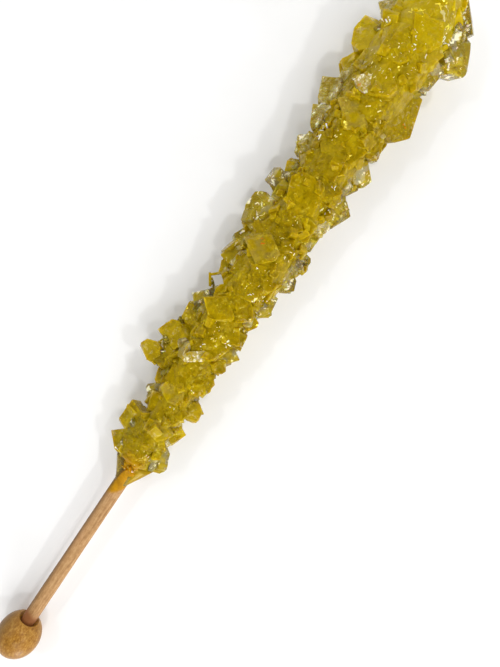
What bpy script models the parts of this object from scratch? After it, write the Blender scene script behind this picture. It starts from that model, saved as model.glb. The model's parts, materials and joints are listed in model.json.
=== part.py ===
"""A rock candy stick: sugar crystals grown over the far end of a dowel with a wooden ball for a grip.

The sweet lies on a table as it does when it is put down. It points along +X from the ball to the
candy's tip, and +Z is up. The origin is on the table, under the middle of the object's box.
The pieces are made in the stick's own frame and laid down last. There, X is the station along the
stick from the ball's centre, Y is the side, and Z is the height over the stick's axis.
"""

import math
import random
from collections import namedtuple

import bmesh
import bpy
from mathutils import Matrix, Vector

MM = 0.001

# The ball and the dowel.
BALL_RADIUS = 4.9 * MM
BALL_FLAT_DEPTH = 0.04 * MM
STICK_RADIUS = 1.65 * MM
STICK_START = -1.0 * MM
STICK_END = 162.0 * MM
STICK_CHAMFER = 0.3 * MM
STICK_RISE = math.radians(1.75)
FIT_GAP = 0.3 * MM
MOUTH_RADIUS = 2.35 * MM
MOUTH_DEPTH = 0.6 * MM
WOOD_SEGMENTS = 32
BALL_RINGS = 14
ROUND_UNDER = math.radians(30.0)

# The space under the table's top, well past the sweet on every side.
TABLE_BLOCK = Vector((0.5, 0.1, 0.02))

# The sugar close round the dowel: a thin skin that flares into the candy, and a rough core.
SKIN_START = 41.5 * MM
SKIN_THICKNESS = 0.3 * MM
FLARE_START = 42.5 * MM
FLARE_END = 47.5 * MM
FLARE_RADIUS = 4.5 * MM
CORE_END = 167.0 * MM
CORE_POINT = 2.0 * MM
CORE_SHARE = 0.66
CORE_STEP = 6.0 * MM
CORE_SEGMENTS = 16

# How far the candy grows out at a few stations: towards +Y, and towards -Y. In millimetres.
CANDY_OUTLINE = (
    (47.5, 4.9, 4.7),
    (60.0, 5.8, 5.1),
    (80.0, 8.0, 5.1),
    (100.0, 8.0, 6.8),
    (130.0, 8.4, 7.2),
    (145.0, 10.4, 8.0),
    (160.0, 10.6, 10.0),
    (168.0, 9.0, 8.6),
    (173.5, 5.5, 5.0),
)

# Sugar's own crystal shape: a block whose sides lean, with some corners and edges cut.
LEAN = math.tan(math.radians(12.0))
DEPTH_TO_WIDTH = (0.75, 0.95)
EDGE_CUTS = 3
EDGE_CUT_KEEP = (0.76, 0.92)
EDGE_CUT_SLOPE = (0.8, 1.2)

# The crystals that grow all round: how many, how they are spread, and their size against the
# candy's radius at their station. Those that point up stay lower than the crystals that stand out,
# and those that point down only just reach the table.
SEED = 11
FILL_COUNT = 112
GOLDEN_ANGLE = math.radians(137.508)
FILL_LENGTH = (0.62, 0.95)
FILL_WIDTH = (0.64, 0.95)
FILL_REACH = (0.86, 1.0)
FILL_CORNERS = (0, 1, 1, 2, 4)
FILL_BITE = (0.2, 0.35)
FILL_TILT = 0.8
FILL_TOP_ROOM = 0.2
FILL_START = 49.0 * MM
FILL_END = 169.0 * MM
UNDERSIDE = 0.3
TABLE_CUT = 0.4 * MM

# The crystals that stand out, seen from above. Place and size in millimetres, heading in degrees
# from the stick towards +Y. Cut corners turn the square outline into a house or an octagon, and
# bite is how much of the width each cut takes. Rise is where its top lies, against the candy's radius.
Crystal = namedtuple(
    "Crystal", "station side length width heading corners bite rise", defaults=(0.84,)
)
SHOWN_CRYSTALS = (
    Crystal(50.2, 3.9, 5.6, 4.6, 42, 1, 0.3),
    Crystal(55.6, 5.0, 5.6, 5.2, -14, 2, 0.3),
    Crystal(63.4, 3.8, 4.8, 4.4, 42, 0, 0.0),
    Crystal(67.0, 4.4, 4.0, 3.8, 8, 1, 0.3),
    Crystal(58.0, -0.8, 4.8, 4.0, 52, 0, 0.0, 0.93),
    Crystal(51.6, -3.8, 6.6, 4.0, 7, 2, 0.3),
    Crystal(57.6, -3.4, 4.8, 4.2, -28, 1, 0.3),
    Crystal(64.3, -4.2, 4.8, 4.4, 4, 4, 0.3),
    Crystal(66.2, 0.8, 4.8, 4.6, 18, 4, 0.3, 0.95),
    Crystal(70.9, 10.1, 4.8, 4.4, 62, 2, 0.35),
    Crystal(69.9, 9.3, 3.0, 2.8, 20, 0, 0.0),
    Crystal(71.6, 6.8, 6.4, 5.0, 64, 1, 0.3),
    Crystal(76.8, 7.3, 6.6, 5.6, 66, 2, 0.25),
    Crystal(81.7, 6.4, 5.2, 4.6, -4, 1, 0.25),
    Crystal(75.0, 1.2, 6.4, 2.8, -66, 0, 0.0, 0.97),
    Crystal(71.5, -3.2, 4.6, 3.2, 8, 1, 0.3),
    Crystal(76.4, -3.4, 3.8, 3.2, 20, 1, 0.3),
    Crystal(79.4, -3.6, 4.2, 3.6, 48, 0, 0.0),
    Crystal(83.4, -3.6, 3.8, 3.4, -4, 0, 0.0),
    Crystal(86.0, 6.8, 4.6, 4.2, 42, 0, 0.0),
    Crystal(91.9, 6.8, 4.2, 1.4, -58, 0, 0.0),
    Crystal(86.3, 2.1, 6.2, 5.6, 36, 1, 0.3, 0.97),
    Crystal(87.8, -3.7, 3.6, 3.2, 56, 1, 0.3),
    Crystal(94.8, 5.8, 4.2, 3.8, 4, 0, 0.0),
    Crystal(98.4, 7.1, 4.8, 4.6, -14, 1, 0.25),
    Crystal(102.1, 6.9, 4.8, 3.8, -42, 1, 0.25),
    Crystal(92.8, -4.1, 5.6, 4.0, -3, 1, 0.3),
    Crystal(99.6, -4.4, 5.6, 5.4, 12, 4, 0.3),
    Crystal(102.6, -4.4, 4.6, 4.4, 70, 4, 0.3),
    Crystal(105.0, -4.9, 3.6, 3.8, -4, 0, 0.0),
    Crystal(102.3, 2.0, 7.0, 5.8, 46, 1, 0.3, 0.97),
    Crystal(108.8, 6.6, 8.0, 7.2, -16, 4, 0.3),
    Crystal(113.7, 5.9, 2.8, 2.6, 6, 1, 0.3),
    Crystal(117.1, 6.5, 4.0, 4.0, 2, 2, 0.25),
    Crystal(121.1, 5.5, 5.0, 4.8, 10, 1, 0.25),
    Crystal(108.4, -4.2, 2.6, 3.0, 14, 4, 0.3),
    Crystal(113.4, -4.7, 4.2, 3.8, -42, 1, 0.25),
    Crystal(117.8, -5.4, 6.4, 5.6, 146, 1, 0.4),
    Crystal(124.6, -5.3, 4.0, 3.4, -44, 0, 0.0),
    Crystal(127.5, -5.4, 5.6, 4.8, 42, 1, 0.3),
    Crystal(127.0, 6.4, 5.2, 4.6, 27, 0, 0.0),
    Crystal(133.2, 7.2, 5.2, 4.4, 16, 1, 0.3),
    Crystal(133.2, -4.9, 5.0, 3.8, 6, 1, 0.3),
    Crystal(138.8, 8.6, 6.2, 5.0, 12, 2, 0.25),
    Crystal(135.6, 1.4, 6.8, 6.0, 36, 1, 0.3, 0.92),
    Crystal(143.4, -5.5, 10.4, 7.0, 8, 1, 0.4),
    Crystal(146.2, 8.0, 4.6, 4.4, 42, 0, 0.0),
    Crystal(141.2, 4.3, 5.0, 4.6, 42, 0, 0.0, 0.95),
    Crystal(152.9, 8.2, 7.8, 6.8, -20, 4, 0.3),
    Crystal(152.4, -6.2, 5.6, 4.0, -14, 1, 0.3),
    Crystal(160.4, 7.0, 6.2, 5.2, 32, 1, 0.3),
    Crystal(159.6, -8.6, 7.6, 6.2, 30, 1, 0.3),
    Crystal(165.6, -5.3, 7.2, 5.6, 52, 1, 0.3),
    Crystal(167.0, 1.2, 7.4, 6.2, 20, 2, 0.3),
)
SHOWN_LIE = 0.3

# The crystals along the top, between those that stand out. They lie nearly level, each at its own tilt.
TOP_SEED = 5
TOP_SWAY = 0.2
TOP_CRYSTALS = (
    Crystal(51.0, 1.3, 5.4, 4.8, 20, 1, 0.3, 0.86),
    Crystal(55.1, 2.1, 5.6, 4.6, -18, 2, 0.3, 0.88),
    Crystal(54.5, -1.6, 5.0, 4.0, 34, 1, 0.3, 0.86),
    Crystal(62.0, 2.3, 4.8, 4.2, 12, 0, 0.0, 0.88),
    Crystal(62.3, -2.0, 4.6, 4.0, -24, 1, 0.3, 0.88),
    Crystal(69.8, 2.0, 5.2, 4.4, -8, 1, 0.3, 0.88),
    Crystal(70.3, -1.6, 5.0, 4.0, 28, 2, 0.25, 0.86),
    Crystal(73.6, 4.1, 4.6, 4.0, 40, 0, 0.0, 0.86),
    Crystal(79.9, 2.2, 5.0, 4.6, 16, 1, 0.3, 0.86),
    Crystal(79.0, -1.1, 5.4, 4.6, -30, 1, 0.3, 0.88),
    Crystal(83.3, -1.8, 5.0, 4.2, 24, 0, 0.0, 0.86),
    Crystal(91.3, 3.1, 5.4, 4.8, -12, 1, 0.3, 0.86),
    Crystal(89.0, -1.4, 5.2, 4.4, 38, 2, 0.25, 0.86),
    Crystal(93.4, -0.5, 5.0, 4.4, 8, 1, 0.3, 0.86),
    Crystal(96.6, 3.3, 5.0, 4.6, -4, 0, 0.0, 0.88),
    Crystal(96.7, -0.9, 6.0, 4.8, 22, 1, 0.3, 0.88),
    Crystal(106.3, 3.1, 5.2, 4.8, -26, 1, 0.3, 0.88),
    Crystal(106.2, -0.7, 5.2, 4.4, 14, 2, 0.25, 0.86),
    Crystal(110.1, 0.8, 5.6, 4.8, 36, 0, 0.0, 0.88),
    Crystal(110.5, -2.6, 4.8, 4.2, -10, 1, 0.3, 0.86),
    Crystal(116.2, 1.3, 8.6, 7.0, 10, 4, 0.3, 0.93),
    Crystal(119.7, -2.4, 5.0, 4.4, -34, 1, 0.3, 0.86),
    Crystal(122.3, 3.1, 5.4, 5.0, 24, 1, 0.3, 0.86),
    Crystal(124.0, 0.0, 6.6, 5.6, -8, 1, 0.3, 0.88),
    Crystal(128.5, 2.3, 6.0, 5.2, 30, 2, 0.25, 0.88),
    Crystal(128.7, -1.8, 5.6, 4.8, -20, 0, 0.0, 0.86),
    Crystal(133.4, -1.5, 6.4, 5.4, 12, 1, 0.3, 0.88),
    Crystal(138.6, -1.5, 6.6, 4.6, -6, 1, 0.3, 0.88),
    Crystal(143.2, 0.5, 7.0, 6.0, 26, 1, 0.3, 0.9),
    Crystal(146.5, 4.2, 6.6, 5.8, -14, 1, 0.3, 0.88),
    Crystal(147.6, -2.1, 7.0, 6.2, 40, 2, 0.25, 0.9),
    Crystal(151.0, 2.0, 8.0, 7.0, 8, 1, 0.3, 0.93),
    Crystal(152.6, -3.7, 6.4, 5.4, -28, 1, 0.3, 0.86),
    Crystal(156.8, -0.8, 8.0, 6.2, 18, 1, 0.3, 0.95),
    Crystal(157.0, 4.4, 6.2, 5.4, -10, 0, 0.0, 0.88),
)

# The crystals on the underside that the sweet rests on, well apart on both sides of the stick.
FOOT_CRYSTALS = (
    Crystal(156.5, -4.8, 6.4, 5.4, 24, 1, 0.3),
    Crystal(149.5, 5.2, 6.0, 5.6, -33, 1, 0.3),
    Crystal(138.5, -4.2, 5.6, 5.0, 62, 2, 0.25),
)
FOOT_CUT = 0.3 * MM


def clear_scene():
    for item in list(bpy.data.objects):
        bpy.data.objects.remove(item, do_unlink=True)


def finish(name, colour, roughness, transmission=0.0):
    made = bpy.data.materials.new(name)
    made.use_nodes = True
    shader = made.node_tree.nodes["Principled BSDF"]
    shader.inputs["Base Color"].default_value = (*colour, 1.0)
    shader.inputs["Roughness"].default_value = roughness
    shader.inputs["Metallic"].default_value = 0.0
    shader.inputs["Transmission Weight"].default_value = transmission
    return made


def lying_frame():
    """The stick's own frame, laid on the table with the ball's flat spot touching it."""
    lift = Matrix.Translation((0.0, 0.0, BALL_RADIUS - BALL_FLAT_DEPTH))
    return lift @ Matrix.Rotation(-STICK_RISE, 4, "Y")


def laid_object(name, shape):
    """Lays a shape made in the stick's frame down on the table, as an object."""
    bmesh.ops.transform(shape, matrix=lying_frame(), verts=shape.verts)
    mesh = bpy.data.meshes.new(name)
    shape.to_mesh(mesh)
    shape.free()
    made = bpy.data.objects.new(name, mesh)
    bpy.context.scene.collection.objects.link(made)
    return made


def shade_round(made):
    made.data.shade_smooth()
    made.data.set_sharp_from_angle(angle=ROUND_UNDER)


def helper(made):
    made.hide_render = True
    made.display_type = "WIRE"
    return made


def combine(target, operation, other):
    step = target.modifiers.new(other.name, "BOOLEAN")
    step.operation = operation
    step.solver = "EXACT"
    if isinstance(other, bpy.types.Collection):
        step.operand_type = "COLLECTION"
        step.collection = other
    else:
        step.object = other


def turned(profile, segments):
    """A closed solid of revolution about X. The profile runs from axis to axis as (station, radius)."""
    shape = bmesh.new()
    points = [shape.verts.new((station, 0.0, radius)) for station, radius in profile]
    edges = [shape.edges.new(pair) for pair in zip(points, points[1:])]
    bmesh.ops.spin(
        shape,
        geom=points + edges,
        cent=(0.0, 0.0, 0.0),
        axis=(1.0, 0.0, 0.0),
        angle=math.tau,
        steps=segments,
        use_merge=True,
    )
    bmesh.ops.remove_doubles(shape, verts=shape.verts, dist=0.001 * MM)
    bmesh.ops.recalc_face_normals(shape, faces=shape.faces)
    return shape


def table_block():
    """The space under the table's top, which flattens what would reach below it."""
    mesh = bpy.data.meshes.new("table")
    shape = bmesh.new()
    bmesh.ops.create_cube(shape, size=1.0)
    bmesh.ops.scale(shape, vec=TABLE_BLOCK, verts=shape.verts)
    bmesh.ops.translate(shape, vec=(0.0, 0.0, -TABLE_BLOCK.z / 2), verts=shape.verts)
    shape.to_mesh(mesh)
    shape.free()
    made = bpy.data.objects.new("table", mesh)
    bpy.context.scene.collection.objects.link(made)
    return helper(made)


def build_ball(table, material):
    """The turned ball, with a blind bore for the dowel that opens in a shallow countersink."""
    bore_radius = STICK_RADIUS + FIT_GAP
    bore_end = STICK_START - FIT_GAP
    mouth = math.sqrt(BALL_RADIUS**2 - MOUTH_RADIUS**2)
    first = math.atan2(MOUTH_RADIUS, mouth)
    profile = []
    for ring in range(BALL_RINGS + 1):
        angle = math.pi + (first - math.pi) * ring / BALL_RINGS
        profile.append((BALL_RADIUS * math.cos(angle), BALL_RADIUS * abs(math.sin(angle))))
    profile[0] = (-BALL_RADIUS, 0.0)
    profile.append((mouth - MOUTH_DEPTH, bore_radius))
    profile.append((bore_end, bore_radius))
    profile.append((bore_end, 0.0))
    ball = laid_object("ball", turned(profile, WOOD_SEGMENTS))
    ball.data.materials.append(material)
    shade_round(ball)
    combine(ball, "DIFFERENCE", table)
    return ball


def build_stick(material):
    """The dowel, with its ends' edges taken off."""
    inner = STICK_RADIUS - STICK_CHAMFER
    profile = [
        (STICK_START, 0.0),
        (STICK_START, inner),
        (STICK_START + STICK_CHAMFER, STICK_RADIUS),
        (STICK_END - STICK_CHAMFER, STICK_RADIUS),
        (STICK_END, inner),
        (STICK_END, 0.0),
    ]
    stick = laid_object("stick", turned(profile, WOOD_SEGMENTS))
    stick.data.materials.append(material)
    shade_round(stick)
    return stick


def candy_reach(station, bearing):
    """How far the candy grows from the axis at a station. Bearings run from up (0) towards +Y."""
    far_side, near_side = CANDY_OUTLINE[-1][1:]
    for low, high in zip(CANDY_OUTLINE, CANDY_OUTLINE[1:]):
        if station <= high[0] * MM:
            share = max(0.0, (station / MM - low[0]) / (high[0] - low[0]))
            far_side = low[1] + (high[1] - low[1]) * share
            near_side = low[2] + (high[2] - low[2]) * share
            break
    middle = (far_side + near_side) / 2
    lopsided = (far_side - near_side) / 2
    return (middle + lopsided * math.sin(bearing)) * MM


def cut_off(shape, point, normal):
    """Cuts the solid by a plane and closes it again. What lies on the normal's side is thrown away."""
    found = bmesh.ops.bisect_plane(
        shape,
        geom=shape.verts[:] + shape.edges[:] + shape.faces[:],
        dist=0.001 * MM,
        plane_co=point,
        plane_no=normal,
        clear_outer=True,
    )
    rim = [item for item in found["geom_cut"] if isinstance(item, bmesh.types.BMEdge)]
    if rim:
        bmesh.ops.contextual_create(shape, geom=rim)


def leaning_block(length, width, depth):
    """A sugar crystal before its corners are cut, about its own centre."""
    shape = bmesh.new()
    bmesh.ops.create_cube(shape, size=1.0)
    bmesh.ops.scale(shape, vec=(length, width, depth), verts=shape.verts)
    bmesh.ops.transform(shape, matrix=Matrix.Shear("YZ", 4, (LEAN, 0.0)), verts=shape.verts)
    return shape


def cut_corners(shape, width, corners, bite):
    """Cuts the first few upright edges, taken in order round the crystal."""
    taken = bite * width
    for east, north in ((-1, -1), (1, -1), (1, 1), (-1, 1))[:corners]:
        slant = Vector((east, north, 0.0)).normalized()
        corner = max(vertex.co.dot(slant) for vertex in shape.verts)
        cut_off(shape, slant * (corner - taken * math.sqrt(0.5)), slant)


def cut_edges(shape, rng):
    """Cuts a few of the edges round the top and the bottom, so that no two crystals are alike."""
    ways = [(1, 0), (-1, 0), (0, 1), (0, -1)]
    for count in range(EDGE_CUTS):
        east, north = rng.choice(ways)
        up = 1 if count else -1
        slant = Vector((east, north, up * rng.uniform(*EDGE_CUT_SLOPE))).normalized()
        furthest = max(vertex.co.dot(slant) for vertex in shape.verts)
        cut_off(shape, slant * furthest * rng.uniform(*EDGE_CUT_KEEP), slant)


def axis_height(station):
    """The height of the stick's axis over the table."""
    return station * math.sin(STICK_RISE) + BALL_RADIUS - BALL_FLAT_DEPTH


def listed_crystal(crystal, rng):
    """A crystal of its listed size about its own centre, turned to its heading, and its depth."""
    width = crystal.width * MM
    depth = width * rng.uniform(*DEPTH_TO_WIDTH)
    shape = leaning_block(crystal.length * MM, width, depth)
    cut_corners(shape, width, crystal.corners, crystal.bite)
    cut_edges(shape, rng)
    turn = Matrix.Rotation(math.radians(crystal.heading), 4, "Z")
    bmesh.ops.transform(shape, matrix=turn, verts=shape.verts)
    return shape, depth


def shown_crystal(crystal, rng):
    """One of the crystals that stand out, in its place. Its top lies level or leans outward a little."""
    shape, depth = listed_crystal(crystal, rng)
    station = crystal.station * MM
    side = crystal.side * MM
    ring = crystal.rise * candy_reach(station, 0.0) - depth / 2
    height = math.sqrt(max(0.0, ring**2 - side**2))
    lie = Matrix.Rotation(-math.atan2(side, height) * SHOWN_LIE, 4, "X")
    place = Matrix.Translation((station, side, height))
    bmesh.ops.transform(shape, matrix=place @ lie, verts=shape.verts)
    return shape


def top_crystal(crystal, rng):
    """One of the crystals between those that stand out, tilted a little about its own centre."""
    shape = shown_crystal(crystal, rng)
    middle = sum((vertex.co for vertex in shape.verts), Vector()) / len(shape.verts)
    tilt = Matrix.Rotation(rng.uniform(-TOP_SWAY, TOP_SWAY), 3, "X")
    tilt @= Matrix.Rotation(rng.uniform(-TOP_SWAY, TOP_SWAY), 3, "Y")
    bmesh.ops.rotate(shape, cent=middle, matrix=tilt, verts=shape.verts)
    return shape


def foot_crystal(crystal, rng):
    """One of the crystals that the sweet rests on: it reaches just past the table's top."""
    shape, depth = listed_crystal(crystal, rng)
    station = crystal.station * MM
    height = depth / 2 - FOOT_CUT - axis_height(station)
    level = Matrix.Rotation(STICK_RISE, 4, "Y")
    place = Matrix.Translation((station, crystal.side * MM, height))
    bmesh.ops.transform(shape, matrix=place @ level, verts=shape.verts)
    return shape


def fill_crystal(count, rng):
    """One of the crystals that grow all round, standing outward at its own bearing and roll."""
    share = (count + rng.uniform(0.2, 0.8)) / FILL_COUNT
    station = FILL_START + (FILL_END - FILL_START) * share
    bearing = count * GOLDEN_ANGLE + rng.uniform(-0.3, 0.3)
    grown = candy_reach(station, bearing)
    length = grown * rng.uniform(*FILL_LENGTH)
    width = length * rng.uniform(*FILL_WIDTH)
    shape = leaning_block(length, width, width * rng.uniform(*DEPTH_TO_WIDTH))
    cut_corners(shape, width, rng.choice(FILL_CORNERS), rng.uniform(*FILL_BITE))
    cut_edges(shape, rng)
    roll = Matrix.Rotation(rng.uniform(0.0, math.tau), 4, "X")
    stand = Matrix.Rotation(-math.pi / 2, 4, "Y")
    tilt = Matrix.Rotation(rng.uniform(-FILL_TILT, FILL_TILT), 4, "Y")
    around = Matrix.Rotation(-bearing, 4, "X")
    bmesh.ops.transform(shape, matrix=around @ tilt @ stand @ roll, verts=shape.verts)
    away = Vector((0.0, math.sin(bearing), math.cos(bearing)))
    reach = grown * rng.uniform(*FILL_REACH) * (1.0 - FILL_TOP_ROOM * max(0.0, away.z))
    down = -away.z
    if down > UNDERSIDE:
        reach = min(reach, (axis_height(station) + TABLE_CUT) / down)
    furthest = max(vertex.co.dot(away) for vertex in shape.verts)
    place = Vector((station, 0.0, 0.0)) + away * (reach - furthest)
    bmesh.ops.translate(shape, vec=place, verts=shape.verts)
    return shape


def sugar_core():
    """The sugar close round the dowel: the skin at the neck, its flare, and the core of the candy."""
    skin = STICK_RADIUS + FIT_GAP + SKIN_THICKNESS
    profile = [(SKIN_START, 0.0), (SKIN_START, skin), (FLARE_START, skin), (FLARE_END, FLARE_RADIUS)]
    steps = round((CORE_END - FLARE_END) / CORE_STEP)
    for step in range(1, steps + 1):
        station = FLARE_END + (CORE_END - FLARE_END) * step / steps
        profile.append((station, CORE_SHARE * candy_reach(station, 0.0)))
    profile.append((CORE_END + CORE_POINT, 0.0))
    return turned(profile, CORE_SEGMENTS)


def dowel_bore():
    bore_radius = STICK_RADIUS + FIT_GAP
    start = SKIN_START - 5.0 * MM
    end = STICK_END + FIT_GAP
    return turned([(start, 0.0), (start, bore_radius), (end, bore_radius), (end, 0.0)], WOOD_SEGMENTS)


def islands(shape):
    """The groups of faces that hang together."""
    left = set(shape.faces)
    while left:
        waiting = [left.pop()]
        island = set(waiting)
        while waiting:
            face = waiting.pop()
            for edge in face.edges:
                for other in edge.link_faces:
                    if other in left:
                        left.discard(other)
                        island.add(other)
                        waiting.append(other)
        yield island


def settle(made):
    """Turns a finished union into a plain mesh, and fills the small hollows shut in between crystals."""
    bpy.context.view_layer.update()
    graph = bpy.context.evaluated_depsgraph_get()
    mesh = bpy.data.meshes.new_from_object(made.evaluated_get(graph))
    shape = bmesh.new()
    shape.from_mesh(mesh)
    groups = sorted(islands(shape), key=len)
    hollow = [face for group in groups[:-1] for face in group]
    bmesh.ops.delete(shape, geom=hollow, context="FACES")
    shape.to_mesh(mesh)
    shape.free()
    made.modifiers.clear()
    made.data = mesh


def build_candy(table, material):
    """The whole crystal mass as one solid, bored for the dowel and flat where it meets the table."""
    rng = random.Random(SEED)
    shapes = [shown_crystal(crystal, rng) for crystal in SHOWN_CRYSTALS]
    shapes += [fill_crystal(count, rng) for count in range(FILL_COUNT)]
    shapes += [foot_crystal(crystal, rng) for crystal in FOOT_CRYSTALS]
    rng = random.Random(TOP_SEED)
    shapes += [top_crystal(crystal, rng) for crystal in TOP_CRYSTALS]
    crystals = bpy.data.collections.new("crystals")
    bpy.context.scene.collection.children.link(crystals)
    for count, shape in enumerate(shapes):
        made = helper(laid_object(f"crystal_{count:03d}", shape))
        bpy.context.scene.collection.objects.unlink(made)
        crystals.objects.link(made)
    candy = laid_object("candy", sugar_core())
    candy.data.materials.append(material)
    combine(candy, "UNION", crystals)
    combine(candy, "DIFFERENCE", helper(laid_object("dowel_bore", dowel_bore())))
    combine(candy, "DIFFERENCE", table)
    settle(candy)
    shade_round(candy)
    return candy


def centre_over_origin(pieces):
    """Moves everything along X and Y, so that the pieces' common box stands centred on the origin."""
    bpy.context.view_layer.update()
    graph = bpy.context.evaluated_depsgraph_get()
    places = []
    for piece in pieces:
        ready = piece.evaluated_get(graph)
        places += [ready.matrix_world @ vertex.co for vertex in ready.data.vertices]
    for axis in (0, 1):
        along = [place[axis] for place in places]
        middle = (min(along) + max(along)) / 2
        for item in bpy.data.objects:
            item.location[axis] -= middle


def main():
    clear_scene()
    table = table_block()
    birch = finish("pale_birch", (0.50, 0.32, 0.17), 0.6)
    golden_wood = finish("golden_wood", (0.38, 0.21, 0.07), 0.45)
    sugar = finish("yellow_sugar", (0.42, 0.32, 0.012), 0.15, 0.6)
    ball = build_ball(table, golden_wood)
    stick = build_stick(birch)
    candy = build_candy(table, sugar)
    centre_over_origin([ball, stick, candy])


main()
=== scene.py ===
"""The look of a rock candy stick: sugar crystals, the dowel they grew on and the wooden ball.

Every piece is made in the stick's own frame and then laid down where the solids lie. In that frame
X is the station along the stick from the ball's centre, Y the side, and Z the height over the axis.
"""
import json
import math
import random
from collections import namedtuple

import bmesh
import bpy
from mathutils import Matrix, Vector, noise
from mathutils.bvhtree import BVHTree

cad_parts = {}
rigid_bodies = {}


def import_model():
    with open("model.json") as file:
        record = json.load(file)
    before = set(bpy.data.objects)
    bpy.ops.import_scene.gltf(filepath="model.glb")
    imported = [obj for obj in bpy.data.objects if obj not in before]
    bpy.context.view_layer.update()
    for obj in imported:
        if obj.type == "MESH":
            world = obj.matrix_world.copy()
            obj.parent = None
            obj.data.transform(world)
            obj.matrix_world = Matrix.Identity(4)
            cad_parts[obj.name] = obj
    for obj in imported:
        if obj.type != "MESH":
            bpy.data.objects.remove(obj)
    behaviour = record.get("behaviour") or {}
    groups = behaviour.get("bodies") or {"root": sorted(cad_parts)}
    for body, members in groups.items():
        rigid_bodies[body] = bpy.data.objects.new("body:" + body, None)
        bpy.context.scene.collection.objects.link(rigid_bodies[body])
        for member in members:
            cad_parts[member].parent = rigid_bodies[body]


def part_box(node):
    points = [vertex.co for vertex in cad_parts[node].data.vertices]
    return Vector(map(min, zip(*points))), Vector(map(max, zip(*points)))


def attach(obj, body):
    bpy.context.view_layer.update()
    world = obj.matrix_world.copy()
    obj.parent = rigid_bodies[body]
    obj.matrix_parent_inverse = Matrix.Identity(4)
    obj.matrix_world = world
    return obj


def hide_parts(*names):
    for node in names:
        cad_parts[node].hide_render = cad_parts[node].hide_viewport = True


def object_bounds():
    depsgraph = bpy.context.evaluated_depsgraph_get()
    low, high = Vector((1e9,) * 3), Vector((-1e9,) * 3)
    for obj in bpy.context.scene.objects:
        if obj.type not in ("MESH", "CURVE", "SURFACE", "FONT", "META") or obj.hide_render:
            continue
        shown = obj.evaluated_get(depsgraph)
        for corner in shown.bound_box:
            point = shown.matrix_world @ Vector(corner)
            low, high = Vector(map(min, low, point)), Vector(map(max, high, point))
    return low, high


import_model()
cad_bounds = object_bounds()

MM = 0.001

# Driving sizes, the same as the solids'.
BALL_RADIUS = 4.9 * MM
BALL_FLAT_DEPTH = 0.04 * MM
STICK_RADIUS = 1.65 * MM
STICK_START = -1.0 * MM
STICK_END = 162.0 * MM
STICK_CHAMFER = 0.3 * MM
STICK_RISE = math.radians(1.75)
FIT_GAP = 0.3 * MM
MOUTH_RADIUS = 2.35 * MM
MOUTH_DEPTH = 0.6 * MM
MOUTH_LIP = (0.10 * MM, 0.12 * MM)
BORE_ROOM = 0.06 * MM
SANDING = 0.01 * MM
FLARE_END = 47.5 * MM
FLARE_RADIUS = 4.5 * MM
CORE_END = 167.0 * MM
CORE_POINT = 2.0 * MM
HEART_SHARE = 0.88
HEART_SIDE_SHARE = 0.74
HEART_TIP_EXTRA = 0.05
HEART_TIP_CLEAR = 0.20
HEART_SWELL_START = 132.0
HEART_SWELL_LENGTH = 12.0
HEART_THIN_START = 151.0
HEART_THIN_LENGTH = 6.0
HEART_LUMPS = 0.07
HEART_LUMP_SCALE = 420.0
HEART_RINGS = 110
HEART_SIDES = 72
CLOUDY_START_RADIUS = STICK_RADIUS + 0.1 * MM
CLOUDY_FLARE = 6.0 * MM
CLOUDY_SHARE = 0.62
CLOUDY_RINGS = 60
CLOUDY_SIDES = 48
CANDY_OUTLINE = (
    (47.5, 4.9, 4.7),
    (60.0, 5.8, 5.1),
    (80.0, 8.0, 5.1),
    (100.0, 8.0, 6.8),
    (130.0, 8.4, 7.2),
    (145.0, 10.4, 8.0),
    (160.0, 10.6, 10.0),
    (168.0, 9.0, 8.6),
    (173.5, 5.5, 5.0),
)
LEAN = math.tan(math.radians(12.0))
DEPTH_TO_WIDTH = (0.75, 0.95)
EDGE_CUTS = 3
EDGE_CUT_KEEP = (0.76, 0.92)
EDGE_CUT_SLOPE = (0.8, 1.2)
SEED = 11
FILL_COUNT = 112
GOLDEN_ANGLE = math.radians(137.508)
FILL_LENGTH = (0.62, 0.95)
FILL_WIDTH = (0.64, 0.95)
FILL_REACH = (0.86, 1.0)
FILL_CORNERS = (0, 1, 1, 2, 4)
FILL_BITE = (0.2, 0.35)
FILL_TILT = 0.8
FILL_TOP_ROOM = 0.2
FILL_STRAY = (0.2, 0.8)
FILL_SWAY = 0.3
FILL_START = 49.0 * MM
FILL_END = 169.0 * MM
UNDERSIDE = 0.3
TABLE_CUT = 0.4 * MM

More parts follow.
